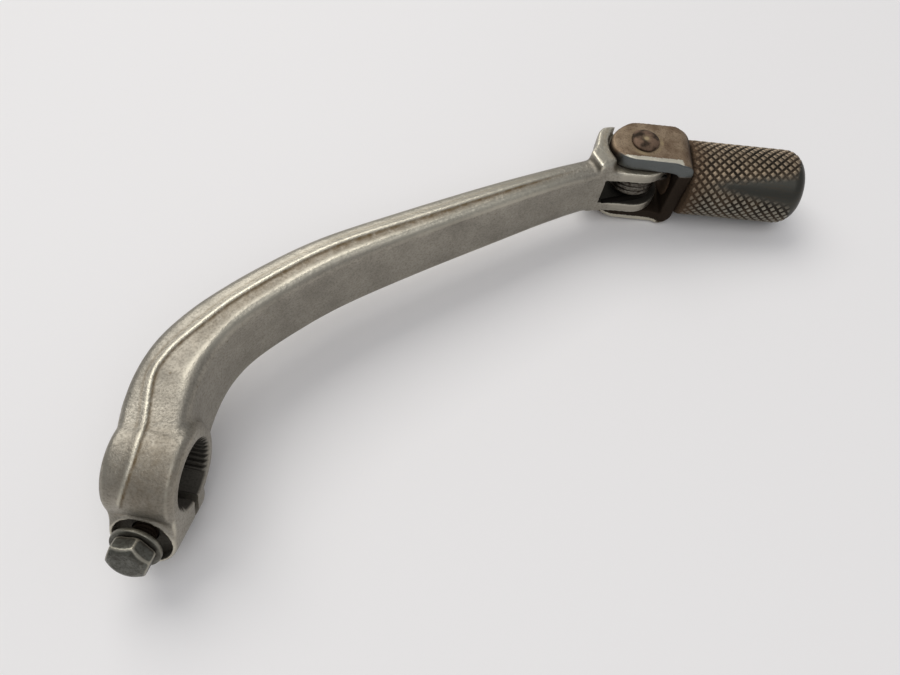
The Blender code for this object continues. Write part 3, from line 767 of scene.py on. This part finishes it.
def build_toe_peg(context):
    """The peg with its rolled diamond knurl, worn away where a boot rubs it."""
    sizes = context.scene.lever_sizes
    count, depth = sizes.knurl_starts, sizes.knurl_depth
    steps = count * 14
    start = BASE_INNER + BASE_THICKNESS + GAP
    profile = peg_profile(start)
    pitch = 2 * math.pi * PEG_RADIUS / count
    angles = np.arange(steps) * 2 * math.pi / steps
    turns = angles * count / (2 * math.pi)
    # Degrees from the middle of the rub, which faces up and towards the boot.
    away = np.abs((np.degrees(angles) - WORN_ANGLE + 180) % 360 - 180)
    rings, crest_rows, worn_rows, dirt_rows = [], [], [], []
    for along, radius in profile:
        shift = (along - start) / pitch
        left = np.abs((turns + shift) % 1 - 0.5)
        right = np.abs((turns - shift) % 1 - 0.5)
        groove = np.maximum(smooth(0.26, 0.05, left), smooth(0.26, 0.05, right))
        dome = 0.12 * (1 - np.cos(2 * math.pi * np.minimum(left, right)))
        # The rub widens from nothing part way along to the whole of the peg's end.
        p = along / MM
        half = np.interp(p, (17, 24, 31, 37, 40, 42.0), (0, 6, 13, 19, 24, 60))
        soft = np.interp(p, (17, 30, 40), (16, 13, 16))
        worn = smooth(half + soft, half - soft * 0.4, away) * smooth(16, 23, p)
        worn = np.maximum(worn, smooth(41.4, 42.9, p))
        run_in = smooth((start / MM) + 0.1, (start / MM) + 0.9, np.full(steps, p))
        level = run_in * (groove * depth - dome * 0.3 * depth) * (1 - worn)
        size = radius - level - 0.14 * MM * worn * smooth(43, 40, p)
        size = np.where(radius < 1e-9, 0, np.maximum(size, 0))
        rings.append(np.stack([size * np.cos(angles), size * np.sin(angles),
                               np.full(steps, along)], 1))
        crest_rows.append((1 - groove) * run_in)
        worn_rows.append(worn)
        dirt_rows.append(smooth(19, 13, np.full(steps, p)))
    # Local axes: x lies across and down from the fold axis, z runs along the peg.
    points = [ALONG_PEG @ Vector(p) for ring in rings[:-1] for p in ring]
    points.append(ALONG_PEG @ Vector((0, 0, PEG_END)))
    faces = []
    last = len(rings) - 2
    for k in range(last):
        faces += ring_faces(k * steps, (k + 1) * steps, steps)
    for i in range(steps):
        faces.append((last * steps + i, last * steps + (i + 1) % steps, len(points) - 1))
    back = [(PEG_RADIUS - 0.7 * MM, start), (TENON_RADIUS, start),
            (TENON_RADIUS, BASE_INNER - GAP), (TENON_HEAD_RADIUS - 0.2 * MM, BASE_INNER - GAP),
            (TENON_HEAD_RADIUS, BASE_INNER - GAP - 0.25 * MM),
            (TENON_HEAD_RADIUS - 0.5 * MM, TENON_HEAD_END), (0, TENON_HEAD_END)]
    ring_start = 0
    for radius, along in back[1:]:
        if radius:
            new_start = len(points)
            points += [ALONG_PEG @ Vector((radius * math.cos(a), radius * math.sin(a), along))
                       for a in angles]
            for i in range(steps):
                j = (i + 1) % steps
                faces.append((ring_start + i, new_start + i, new_start + j, ring_start + j))
            ring_start = new_start
    points.append(ALONG_PEG @ Vector((0, 0, back[-1][1])))
    for i in range(steps):
        faces.append((ring_start + i, len(points) - 1, ring_start + (i + 1) % steps))
    obj = mesh_object("toe_peg_visual", [(points, faces)])
    rest = len(points) - (last + 1) * steps
    crest = np.concatenate([*crest_rows[:-1], np.full(rest, 0.3)])
    worn = np.concatenate([*worn_rows[:-1], np.full(rest, 0.0)])
    dirt_and_shade = np.concatenate([*dirt_rows[:-1], np.full(rest, 1.0)])
    tip = (last + 1) * steps
    crest[tip], worn[tip], dirt_and_shade[tip] = 1, 1, 0
    store(obj, "crest", crest)
    store(obj, "worn", worn)
    store(obj, "dirt_and_shade", dirt_and_shade)
    # The crests over the peg's upper half are paler, set by height alone.
    up = points_of(obj)[:, 2] / PEG_RADIUS
    store(obj, "paler_on_top", 0.9 * smooth(0.0, 0.8, up))
    finish_piece(obj, knurled_steel(context.scene.lever_colours), "tip",
                 ["toe_peg"], 60)


def build_pivot_pin(context):
    """The pin with a hammered rivet head at each end, a little out of round."""
    seat, head = YOKE_HALF_HEIGHT + GAP, RIVET_HEAD_RADIUS
    dome = [(0.0, 0.86), (0.12, 0.84), (0.22, 0.93), (0.4, 1.0), (0.6, 0.95), (0.78, 0.8),
            (0.9, 0.58), (0.97, 0.36), (1.0, 0.15)]
    upper = [(r * head, seat + h * RIVET_HEAD_HEIGHT) for r, h in dome]
    lower = [(r, -h) for r, h in reversed(upper)]
    profile = [*upper, (head * 0.99, seat), (PIN_RADIUS, seat), (PIN_RADIUS, -seat),
               (head * 0.99, -seat), *lower]
    obj = mesh_object("pivot_pin_visual", [revolve(profile, 96, Matrix())])
    co = points_of(obj)
    angle, reach = np.arctan2(co[:, 1], co[:, 0]), np.linalg.norm(co[:, :2], axis=1)
    swing = 0.018 * np.sin(3 * angle + 0.7) + 0.012 * np.sin(5 * angle + 2.1)
    outer = smooth(PIN_RADIUS, head, reach)
    co[:, :2] *= (1 - 0.02 * outer + swing * outer)[:, None]
    dents = 0.05 * MM * np.sin(co[:, 0] * 2600 + 1) * np.sin(co[:, 1] * 2100 + 2)
    co[:, 2] += dents * smooth(seat, seat + 0.3 * MM, np.abs(co[:, 2]))
    co = co @ np.array(AT_TIP.to_3x3()).T + np.array(AT_TIP.translation)
    set_points(obj, co)
    store(obj, "crown", smooth(0.30, 0.08, reach / head))
    finish_piece(obj, rivet_steel(context.scene.lever_colours), "tip",
                 ["pivot_pin"], 50)


# ---- return spring ----------------------------------------------------------------------
def build_return_spring(context):
    coil = []
    for i in range(COIL_TURNS * COIL_STEPS + 1):
        angle = COIL_START + 2 * math.pi * i / COIL_STEPS
        coil.append(Vector((COIL_RADIUS * math.cos(angle), COIL_RADIUS * math.sin(angle),
                            COIL_BOTTOM + COIL_PITCH * i / COIL_STEPS)))
    tangent = Vector((-math.sin(COIL_START), math.cos(COIL_START), 0))
    path = [coil[0] - tangent * LOWER_LEG * k / 4 for k in (4, 3, 2, 1)] + coil
    path += [coil[-1] + tangent * UPPER_LEG * k / 4 for k in (1, 2, 3, 4)]
    rings = []
    for i, point in enumerate(path):
        ahead = path[min(i + 1, len(path) - 1)] - path[max(i - 1, 0)]
        side = ahead.normalized().cross(Vector((0, 0, 1))).normalized()
        up = side.cross(ahead).normalized()
        size = WIRE_RADIUS * (0.82 if i in (0, len(path) - 1) else 1)
        rings.append([AT_FORK @ (point + size * (math.cos(a) * side + math.sin(a) * up))
                      for a in np.arange(14) * 2 * math.pi / 14])
    spring = mesh_object("torsion_spring_visual", [loft(rings)])
    # Painted shade: the lower leg and the start of the coil, down in the fork's slot, are darkened
    # towards soot.
    store(spring, "dirt_and_shade", np.repeat(smooth(12, 4, np.arange(len(rings))), len(rings[0])))
    finish_piece(spring, spring_wire(context.scene.lever_colours), None,
                 ["torsion_spring"], 60)
    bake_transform(spring)

    inner, edge, half = PIN_RADIUS + GAP, 0.3 * MM, COLLAR_HALF_LENGTH
    profile = [(inner + edge, half), (COLLAR_OUTER - edge, half), (COLLAR_OUTER, half - edge),
               (COLLAR_OUTER, edge - half), (COLLAR_OUTER - edge, -half), (inner + edge, -half),
               (inner, edge - half), (inner, half - edge)]
    collar = mesh_object("spring_collar_visual", [revolve(profile, 64, AT_FORK, True)])
    finish_piece(collar, turned_collar(context.scene.lever_colours), "arm",
                 ["spring_collar"], 30)


# ---- finishes ---------------------------------------------------------------------------
def add_node(tree, kind, settings=None, values=None, links=None):
    """A node with its settings, its socket values and its linked inputs."""
    node = tree.nodes.new(kind)
    for name, value in (settings or {}).items():
        setattr(node, name, value)
    for name, value in (values or {}).items():
        node.inputs[name].default_value = value
    for name, output in (links or {}).items():
        tree.links.new(output, node.inputs[name])
    return node


def new_finish(name, metallic=1.0):
    """(material, tree, shader, object coordinates) of an empty finish."""
    material = bpy.data.materials.new(name)
    material.use_nodes = True
    tree = material.node_tree
    tree.nodes.clear()
    shader = add_node(tree, "ShaderNodeBsdfPrincipled", values={"Metallic": metallic})
    add_node(tree, "ShaderNodeOutputMaterial", links={"Surface": shader.outputs[0]})
    place = add_node(tree, "ShaderNodeTexCoord").outputs["Object"]
    return material, tree, shader, place


def metal_finish(name, patterns, marks, masks, ground, layers, relief, sums=None):
    """A metal whose ground drifts between two colours, with grime and rubbing, painted shade and
    painted highlights laid over it.

    patterns: the size of each noise in mm, its detail, roughness and, if it runs one way, how
    it is turned and stretched. marks: the per-point numbers read. sums: one pattern or mark,
    times a share, plus another. masks: a pattern, mark or sum and the range it is stretched
    from and to; "ground" mixes the two ground colours and "gloss" is their roughness. layers:
    each one's colour, roughness and the masks multiplied to place it. relief: the height's
    pattern, its strength and its depth in mm.
    """
    material, tree, shader, place = new_finish(name)
    read = {}
    for pattern, (size, detail, roughness, *stretch) in patterns.items():
        vector = place
        for settings in stretch:
            vector = add_node(tree, "ShaderNodeMapping", None, settings,
                              {"Vector": place}).outputs[0]
        noise = {"Scale": 1 / (size * MM), "Detail": detail, "Roughness": roughness}
        read[pattern] = add_node(tree, "ShaderNodeTexNoise", None, noise,
                                 {"Vector": vector}).outputs["Fac"]
    for mark in marks:
        read[mark] = add_node(tree, "ShaderNodeAttribute",
                              {"attribute_name": mark}).outputs["Fac"]
    for total, (first, share, second) in (sums or {}).items():
        read[total] = add_node(tree, "ShaderNodeMath", {"operation": "MULTIPLY_ADD"},
                               {1: share}, {0: read[first], 2: read[second]}).outputs[0]
    for mask, (source, *span) in masks.items():
        read[mask] = add_node(tree, "ShaderNodeMapRange", None, dict(enumerate(span, 1)),
                              {0: read[source]}).outputs[0]
    light, dark = ground
    paint = add_node(tree, "ShaderNodeMix", {"data_type": "RGBA"},
                     {6: (*light, 1), 7: (*dark, 1)}, {0: read["ground"]}).outputs[2]
    gloss = read["gloss"]
    for colour, roughness, first, *others in layers:
        where = read[first]
        for other in others:
            where = add_node(tree, "ShaderNodeMath", {"operation": "MULTIPLY"},
                             links={0: where, 1: read[other]}).outputs[0]
        paint = add_node(tree, "ShaderNodeMix", {"data_type": "RGBA"}, {7: (*colour, 1)},
                         {0: where, 6: paint}).outputs[2]
        shine = add_node(tree, "ShaderNodeMix", {"data_type": "FLOAT"}, None,
                         {0: where, 2: gloss})
        if roughness in read:
            tree.links.new(read[roughness], shine.inputs[3])
        else:
            shine.inputs[3].default_value = roughness
        gloss = shine.outputs[0]
    tree.links.new(paint, shader.inputs["Base Color"])
    tree.links.new(gloss, shader.inputs["Roughness"])
    height, strength, depth = relief
    bump = add_node(tree, "ShaderNodeBump", None, {"Distance": depth * MM},
                    {"Height": read[height]})
    if strength in read:
        tree.links.new(read[strength], bump.inputs["Strength"])
    else:
        bump.inputs["Strength"].default_value = strength
    tree.links.new(bump.outputs[0], shader.inputs["Normal"])
    return material


def forged_aluminium(colours):
    """Aluminium, hot forged and tumbled, never coated: a fine matte grain, cloudy oxide, brown
    grime in the hollows and bright metal along every rubbed edge, with painted shade inside the
    slot, pocket and bore and along the flash line, and painted highlights on the ridges and fork
    tops."""
    return metal_finish(
        "forged_aluminium_tumbled",
        patterns={
            # Tumbling leaves dimples about 0.3 mm across, drawn at 0.5 mm so that they show.
            "grain": (0.5, 2.5, 0.6),
            "clouds": (9, 5.0, 0.62),
            # Forging scale and knocks leave separate pits, a millimetre or two apart.
            "pits": (1.6, 4.0, 0.7),
        },
        marks=("rub_and_highlight", "dirt_and_shade", "deep"),
        sums={"lumps": ("grain", 0.45, "pits")},
        masks={
            "ground": ("clouds", 0.32, 0.74), "gloss": ("clouds", 0.3, 0.7, 0.36, 0.5),
            "speck": ("grain", 0.44, 0.68, 0.0, 0.42), "pit": ("pits", 0.66, 0.74, 0.0, 0.7),
            "patchy": ("pits", 0.3, 0.6, 0.35, 1.0), "broken": ("grain", 0.35, 0.62, 0.45, 1.0),
        },
        ground=(colours.aluminium, colours.oxide),
        layers=[
            (colours.oxide_dark, 0.62, "speck"),
            (colours.grime, 0.75, "pit"),
            # Brown grime, with painted shade along the flash line's foot and under the yoke's ear.
            (colours.grime, 0.7, "dirt_and_shade", "patchy"),
            # Rubbed edges, with painted highlights on the ridge, the bead's crest and the fork
            # tops.
            (colours.bright, 0.3, "rub_and_highlight", "broken"),
            # Painted shade, near black, inside the fork slot, the bolt pocket and the bore.
            (colours.soot_and_shade, 0.8, "deep"),
        ],
        relief=("lumps", 0.75, 0.19),
    )


def zinc_plated_steel(colours):
    """Steel, cold headed and zinc plated: the plate has gone dull and grey-green, with rounded
    corners rubbed bright and lit by a painted highlight, and dark brown painted shade where head
    and washer meet."""
    return metal_finish(
        "zinc_plated_steel_dulled",
        patterns={
            # Grains in dulled plate are well under 0.1 mm, drawn at 0.5 mm so that they show.
            "grain": (0.5, 4.0, 0.65),
            "clouds": (2.2, 4.0, 0.5),
        },
        marks=("rub_and_highlight", "dirt_and_shade"),
        masks={
            "ground": ("clouds", 0.4, 0.62), "gloss": ("grain", 0.3, 0.7, 0.34, 0.56),
            "speck": ("grain", 0.5, 0.68, 0.0, 0.5),
        },
        ground=(colours.zinc, colours.zinc_dark),
        layers=[
            (colours.dark_rust_and_shade, 0.65, "speck"),
            # Painted shade where the head meets the washer, and across the washer's face under the
            # head.
            (colours.dark_rust_and_shade, 0.75, "dirt_and_shade"),
            # Rubbed corners and the washer's rim, partly painted highlight.
            (colours.bright, 0.28, "rub_and_highlight"),
        ],
        relief=("grain", 0.6, 0.14),
    )


def pressed_steel(colours):
    """Steel strip, blanked and bent, left bare: an even brown rust bloom over the rolled faces,
    and the blanked edge rubbed back to bright steel."""
    return metal_finish(
        "pressed_steel_browned",
        patterns={
            # Rust grains are about 0.1 mm, and the blanked edge's lines as close. Both are
            # drawn coarser so that they show.
            "grain": (0.4, 4.0, 0.65),
            "clouds": (4.5, 6.0, 0.6),
            "drawn": (0.5, 3.0, 0.5, {"Rotation": (0, 0, -PEG_ANGLE), "Scale": (0.12, 1, 1)}),
        },
        marks=("polish", "chip_and_highlight", "ring", "dirt_and_shade", "rub_and_highlight"),
        sums={"ragged": ("chip_and_highlight", 1.0, "grain")},
        masks={
            "ground": ("clouds", 0.35, 0.65), "gloss": ("grain", 0.3, 0.7, 0.45, 0.7),
            "speck": ("grain", 0.55, 0.7, 0.0, 0.6), "patch": ("clouds", 0.45, 0.6, 0.05, 0.9),
            "chips_and_highlight": ("ragged", 1.16, 1.3), "shine": ("drawn", 0.3, 0.7, 0.26, 0.42),
            "roughened": ("polish", 0.0, 1.0, 1.0, 0.15),
        },
        ground=(colours.rust_pale, colours.rust),
        layers=[
            (colours.dark_rust_and_shade, 0.7, "speck"),
            # Painted shade over all but the ears' outer faces.
            (colours.dark_rust_and_shade, 0.75, "dirt_and_shade"),
            (colours.dust, 0.8, "ring", "patch"),
            # Painted highlight along the lower ear's edges, with some real rubbing.
            (colours.bright, 0.4, "rub_and_highlight", "patch"),
            # Chips, partly a painted highlight along the ears' front edges.
            (colours.bright, 0.38, "chips_and_highlight"),
            (colours.steel, "shine", "polish"),
        ],
        relief=("grain", "roughened", 0.09),
    )


def knurled_steel(colours):
    """Steel bar, turned and knurled with a rolled diamond: brown grime lies between the
    diamonds, their crests are bright, and a boot has rubbed one side smooth and dark."""
    return metal_finish(
        "knurled_steel_worn",
        patterns={
            # Rust grains are about 0.1 mm, drawn at 0.35 mm so that they show.
            "grain": (0.35, 4.0, 0.65),
            "clouds": (6, 4.0, 0.5),
            # Scuffs run along the peg, under a millimetre apart.
            "scuffs": (0.7, 5.0, 0.5, {"Rotation": (0, 0, -PEG_ANGLE), "Scale": (0.1, 1, 1)}),
        },
        marks=("crest", "worn", "dirt_and_shade", "paler_on_top"),
        masks={
            "ground": ("clouds", 0.4, 0.6), "gloss": ("grain", 0.3, 0.7, 0.5, 0.75),
            "tops": ("crest", 0.5, 0.95), "broken": ("grain", 0.3, 0.6, 0.4, 1.0),
            "scratch": ("scuffs", 0.5, 0.75, 0.0, 0.6), "patch": ("grain", 0.35, 0.6, 0.2, 0.9),
        },
        ground=(colours.peg_brown, colours.peg_dark),
        layers=[
            (colours.crest, 0.34, "tops", "broken"),
            # Paler crests over the peg's upper half.
            (colours.rust_pale, 0.5, "paler_on_top", "tops"),
            (colours.worn_band, 0.4, "worn"),
            (colours.peg_brown, 0.5, "scratch", "worn"),
            (colours.rust, 0.8, "dirt_and_shade", "patch"),
        ],
        relief=("grain", 0.4, 0.06),
    )


def rivet_steel(colours):
    """Mild steel, hammered into a rivet head: dark brown rust with a burnished crown."""
    return metal_finish(
        "rivet_steel_rusted",
        # Rust grains are about 0.1 mm, drawn at 0.5 mm so that they show.
        patterns={"grain": (0.5, 5.0, 0.65), "clouds": (2.5, 4.0, 0.5)},
        marks=("crown",),
        masks={"ground": ("clouds", 0.4, 0.6), "gloss": ("grain", 0.3, 0.7, 0.58, 0.8)},
        ground=(colours.rivet, colours.dark_rust_and_shade),
        layers=[(colours.dust, 0.6, "crown")],
        relief=("grain", 0.5, 0.08),
    )


def spring_wire(colours):
    """Spring steel, cold drawn: a dark, even wire with a soft sheen, and painted shade on its
    lower leg.
    """
    return metal_finish(
        "spring_steel_drawn",
        # The skin of drawn wire is finer than 0.1 mm, drawn at 0.6 mm so that it shows.
        patterns={"grain": (0.6, 4.0, 0.5)},
        marks=("dirt_and_shade",),
        masks={"ground": ("grain", 0.4, 0.65), "gloss": ("grain", 0.3, 0.7, 0.3, 0.5)},
        ground=(colours.wire, colours.dark_rust_and_shade),
        # Painted shade on the lower leg.
        layers=[(colours.soot_and_shade, 0.8, "dirt_and_shade")],
        relief=("grain", 0.25, 0.05),
    )


def turned_collar(colours):
    """Steel tube, turned and oiled: fine rings round its axis under a film of grime."""
    return metal_finish(
        "collar_steel_turned",
        # A turning tool's rings are about 0.1 mm apart, drawn at 0.3 mm so that they show.
        patterns={"rings": (0.3, 3.0, 0.5, {"Scale": (0.1, 0.1, 1)})},
        marks=(),
        masks={"ground": ("rings", 0.4, 0.65), "gloss": ("rings", 0.3, 0.7, 0.35, 0.55)},
        ground=(colours.wire, colours.soot_and_shade),
        layers=[],
        relief=("rings", 0.3, 0.03),
    )


def painted_board(colours):
    """Board, painted a pale matte grey: nearly even, with a faint cloudiness a hand wide."""
    material, tree, shader, place = new_finish("painted_board_matte", 0.0)
    clouds = add_node(tree, "ShaderNodeTexNoise", None,
                      {"Scale": 1 / (120 * MM), "Detail": 2.0}, {"Vector": place}).outputs["Fac"]
    red, green, blue = colours.table
    paint = add_node(tree, "ShaderNodeMix", {"data_type": "RGBA"},
                     {6: (red * 0.985, green * 0.98, blue * 0.98, 1), 7: (red, green, blue, 1)},
                     {0: clouds})
    tree.links.new(paint.outputs[2], shader.inputs["Base Color"])
    shader.inputs["Roughness"].default_value = 0.6
    return material


# ---- stage ------------------------------------------------------------------------------
def floor_matrix():
    """The table under the lever, which rests on its lug, the lower rivet and the peg's end."""
    lug_low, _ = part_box("lever_arm")
    lug = Vector((LUG_SIDE, -1.2 * MM, lug_low.z))
    rivet = Vector((PIVOT.x, PIVOT.y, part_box("pivot_pin")[0].z))
    peg_far = AT_TIP @ Vector((PEG_END - PEG_END_ROUNDING, 0, 0))
    peg = Vector((peg_far.x, peg_far.y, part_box("toe_peg")[0].z))
    up = (rivet - lug).cross(peg - lug).normalized()
    up = up if up.z > 0 else -up
    tilt = up.to_track_quat("Z", "Y").to_matrix().to_4x4()
    return Matrix.Translation(rivet - up * 0.05 * MM) @ tilt


def add_area_light(name, location, size, power, colour):
    data = bpy.data.lights.new(name, "AREA")
    data.shape = "RECTANGLE"
    data.size, data.size_y = size
    data.energy = power
    data.color = colour
    light = bpy.data.objects.new(name, data)
    light.location = location
    light.rotation_mode = "QUATERNION"
    light.rotation_quaternion = (STAGE_MIDDLE - Vector(location)).to_track_quat("-Z", "Y")
    bpy.context.scene.collection.objects.link(light)


def build_stage(context):
    scene, reach = context.scene, TABLE_REACH
    outline = [(-reach, -reach), (reach, -reach), (reach, reach), (-reach, reach)]
    table = extrude(outline, -TABLE_THICKNESS, 0, floor_matrix())
    floor = mesh_object("table_top", [table])
    floor.data.materials.append(painted_board(scene.lever_colours))
    for light in LIGHTS:
        add_area_light(*light)
    world = bpy.data.worlds.new("pale_room")
    world.use_nodes = True
    background = world.node_tree.nodes["Background"]
    background.inputs["Color"].default_value = linear(ROOM_COLOUR)
    background.inputs["Strength"].default_value = ROOM_STRENGTH
    scene.world = world
    scene.view_settings.view_transform = "Standard"

    data = bpy.data.cameras.new("camera")
    data.lens = CAMERA_LENS
    data.sensor_width = 36
    data.clip_start = CAMERA_NEAREST
    camera = bpy.data.objects.new("camera", data)
    camera.location = CAMERA_PLACE
    camera.rotation_euler = [math.radians(angle) for angle in CAMERA_TURN]
    scene.collection.objects.link(camera)
    scene.camera = camera


# ---- add-on -----------------------------------------------------------------------------
def length(name, description, default):
    return bpy.props.FloatProperty(name=name, description=description, default=default,
                                   subtype="DISTANCE", unit="LENGTH", precision=5)


def colour(name, description, code):
    return bpy.props.FloatVectorProperty(name=name, description=description, size=3, min=0, max=1,
                                         default=linear(code)[:3], subtype="COLOR")


class LeverSizes(bpy.types.PropertyGroup):
    skin_spacing: length("Skin spacing", "Distance between points on the forged skin", 0.25 * MM)
    flash_height: length("Flash height", "Height of the trimmed flash line", 0.19 * MM)
    channel_depth: length("Channel depth", "Depth of the hollow beside the flash line", 0.16 * MM)
    knurl_depth: length("Knurl depth", "Depth of the knurl's grooves", 0.42 * MM)
    knurl_starts: bpy.props.IntProperty(name="Knurl starts", default=26, min=8, max=60,
                                        description="Grooves round the peg in each direction")


class LeverColours(bpy.types.PropertyGroup):
    aluminium: colour("Aluminium", "Clean forged aluminium", "#A7A195")
    oxide: colour("Oxide", "Cloudy oxide on the aluminium", "#8B867C")
    oxide_dark: colour("Dark oxide", "Bottoms of the tumbled dimples", "#6B665C")
    # Bright metal also serves as painted highlight on ridges, rims, fork tops and edges.
    bright: colour("Bright metal", "Metal rubbed bright", "#CEC8B7")
    # Grime also serves as painted shade along the flash line's foot and under the yoke's ear.
    grime: colour("Grime", "Brown grime in hollows", "#74644C")
    # Soot also serves as painted shade inside the arm's slot, pocket and bore and on the spring's
    # lower leg.
    soot_and_shade: colour("Soot", "Black dirt deep inside", "#1E1B18")
    zinc: colour("Zinc", "Dulled zinc plate", "#62625B")
    zinc_dark: colour("Dark zinc", "Stained zinc plate", "#4A4943")
    steel: colour("Steel", "Polished steel edge", "#606362")
    rust_pale: colour("Pale rust", "Thin brown bloom on steel", "#9A8872")
    rust: colour("Rust", "Brown rust on steel", "#6E5A48")
    # Dark rust also serves as painted shade where the bolt head meets the washer and inside the
    # yoke.
    dark_rust_and_shade: colour("Dark rust", "Dark brown rust", "#3C332B")
    dust: colour("Dust", "Pale dirt round the rivet", "#AB9A7C")
    rivet: colour("Rivet", "Rusted rivet head", "#7D6858")
    peg_brown: colour("Peg brown", "Grime between the diamonds", "#54483B")
    peg_dark: colour("Peg dark", "Dark steel between the diamonds", "#38322B")
    crest: colour("Crests", "Tops of the diamonds", "#9A9588")
    worn_band: colour("Worn band", "Steel rubbed smooth by a boot", "#474641")
    wire: colour("Wire", "Drawn spring wire", "#6A655D")
    table: colour("Table", "Painted table top", "#EDEBEA")


class LEVER_OT_stage(bpy.types.Operator):
    """Add the table, lights and camera"""

    bl_idname = "lever.stage"
    bl_label = "Stage"

    def execute(self, context):
        build_stage(context)
        return {"FINISHED"}


class LEVER_OT_arm(bpy.types.Operator):
    """Build the forged arm with its clamp boss, lug and fork"""

    bl_idname = "lever.arm"
    bl_label = "Forged arm"

    def execute(self, context):
        build_lever_arm(context)
        return {"FINISHED"}


class LEVER_OT_clamp_hardware(bpy.types.Operator):
    """Build the pinch bolt and its washer"""

    bl_idname = "lever.clamp_hardware"
    bl_label = "Pinch bolt and washer"

    def execute(self, context):
        build_clamp_hardware(context)
        return {"FINISHED"}


class LEVER_OT_tip_yoke(bpy.types.Operator):
    """Build the bent steel yoke that carries the peg"""

    bl_idname = "lever.tip_yoke"
    bl_label = "Tip yoke"

    def execute(self, context):
        build_tip_yoke(context)
        return {"FINISHED"}


class LEVER_OT_toe_peg(bpy.types.Operator):
    """Build the knurled toe peg"""

    bl_idname = "lever.toe_peg"
    bl_label = "Toe peg"

    def execute(self, context):
        build_toe_peg(context)
        return {"FINISHED"}


class LEVER_OT_pivot_pin(bpy.types.Operator):
    """Build the riveted pivot pin"""

    bl_idname = "lever.pivot_pin"
    bl_label = "Pivot pin"

    def execute(self, context):
        build_pivot_pin(context)
        return {"FINISHED"}


class LEVER_OT_return_spring(bpy.types.Operator):
    """Build the torsion spring and the collar inside it"""

    bl_idname = "lever.return_spring"
    bl_label = "Return spring and collar"

    def execute(self, context):
        build_return_spring(context)
        return {"FINISHED"}


STEPS = (
    LEVER_OT_stage, LEVER_OT_arm, LEVER_OT_clamp_hardware, LEVER_OT_tip_yoke, LEVER_OT_toe_peg,
    LEVER_OT_pivot_pin, LEVER_OT_return_spring,
)


class LEVER_PT_pieces(bpy.types.Panel):
    """Lists the lever's pieces, sizes and colours"""

    bl_label = "Gear shift lever"
    bl_idname = "LEVER_PT_pieces"
    bl_space_type = "VIEW_3D"
    bl_region_type = "UI"
    bl_category = "Lever"

    def draw(self, context):
        for step in STEPS:
            self.layout.operator(step.bl_idname)
        for group in (context.scene.lever_sizes, context.scene.lever_colours):
            box = self.layout.box()
            for name in group.__annotations__:
                box.prop(group, name)


CLASSES = (LeverSizes, LeverColours, *STEPS, LEVER_PT_pieces)


def register():
    for item in CLASSES:
        bpy.utils.register_class(item)
    bpy.types.Scene.lever_sizes = bpy.props.PointerProperty(type=LeverSizes)
    bpy.types.Scene.lever_colours = bpy.props.PointerProperty(type=LeverColours)


def unregister():
    del bpy.types.Scene.lever_colours
    del bpy.types.Scene.lever_sizes
    for item in reversed(CLASSES):
        bpy.utils.unregister_class(item)


def main():
    register()
    bpy.ops.lever.stage()
    bpy.ops.lever.arm()
    bpy.ops.lever.clamp_hardware()
    bpy.ops.lever.tip_yoke()
    bpy.ops.lever.toe_peg()
    bpy.ops.lever.pivot_pin()
    bpy.ops.lever.return_spring()


if __name__ == "__main__":
    main()
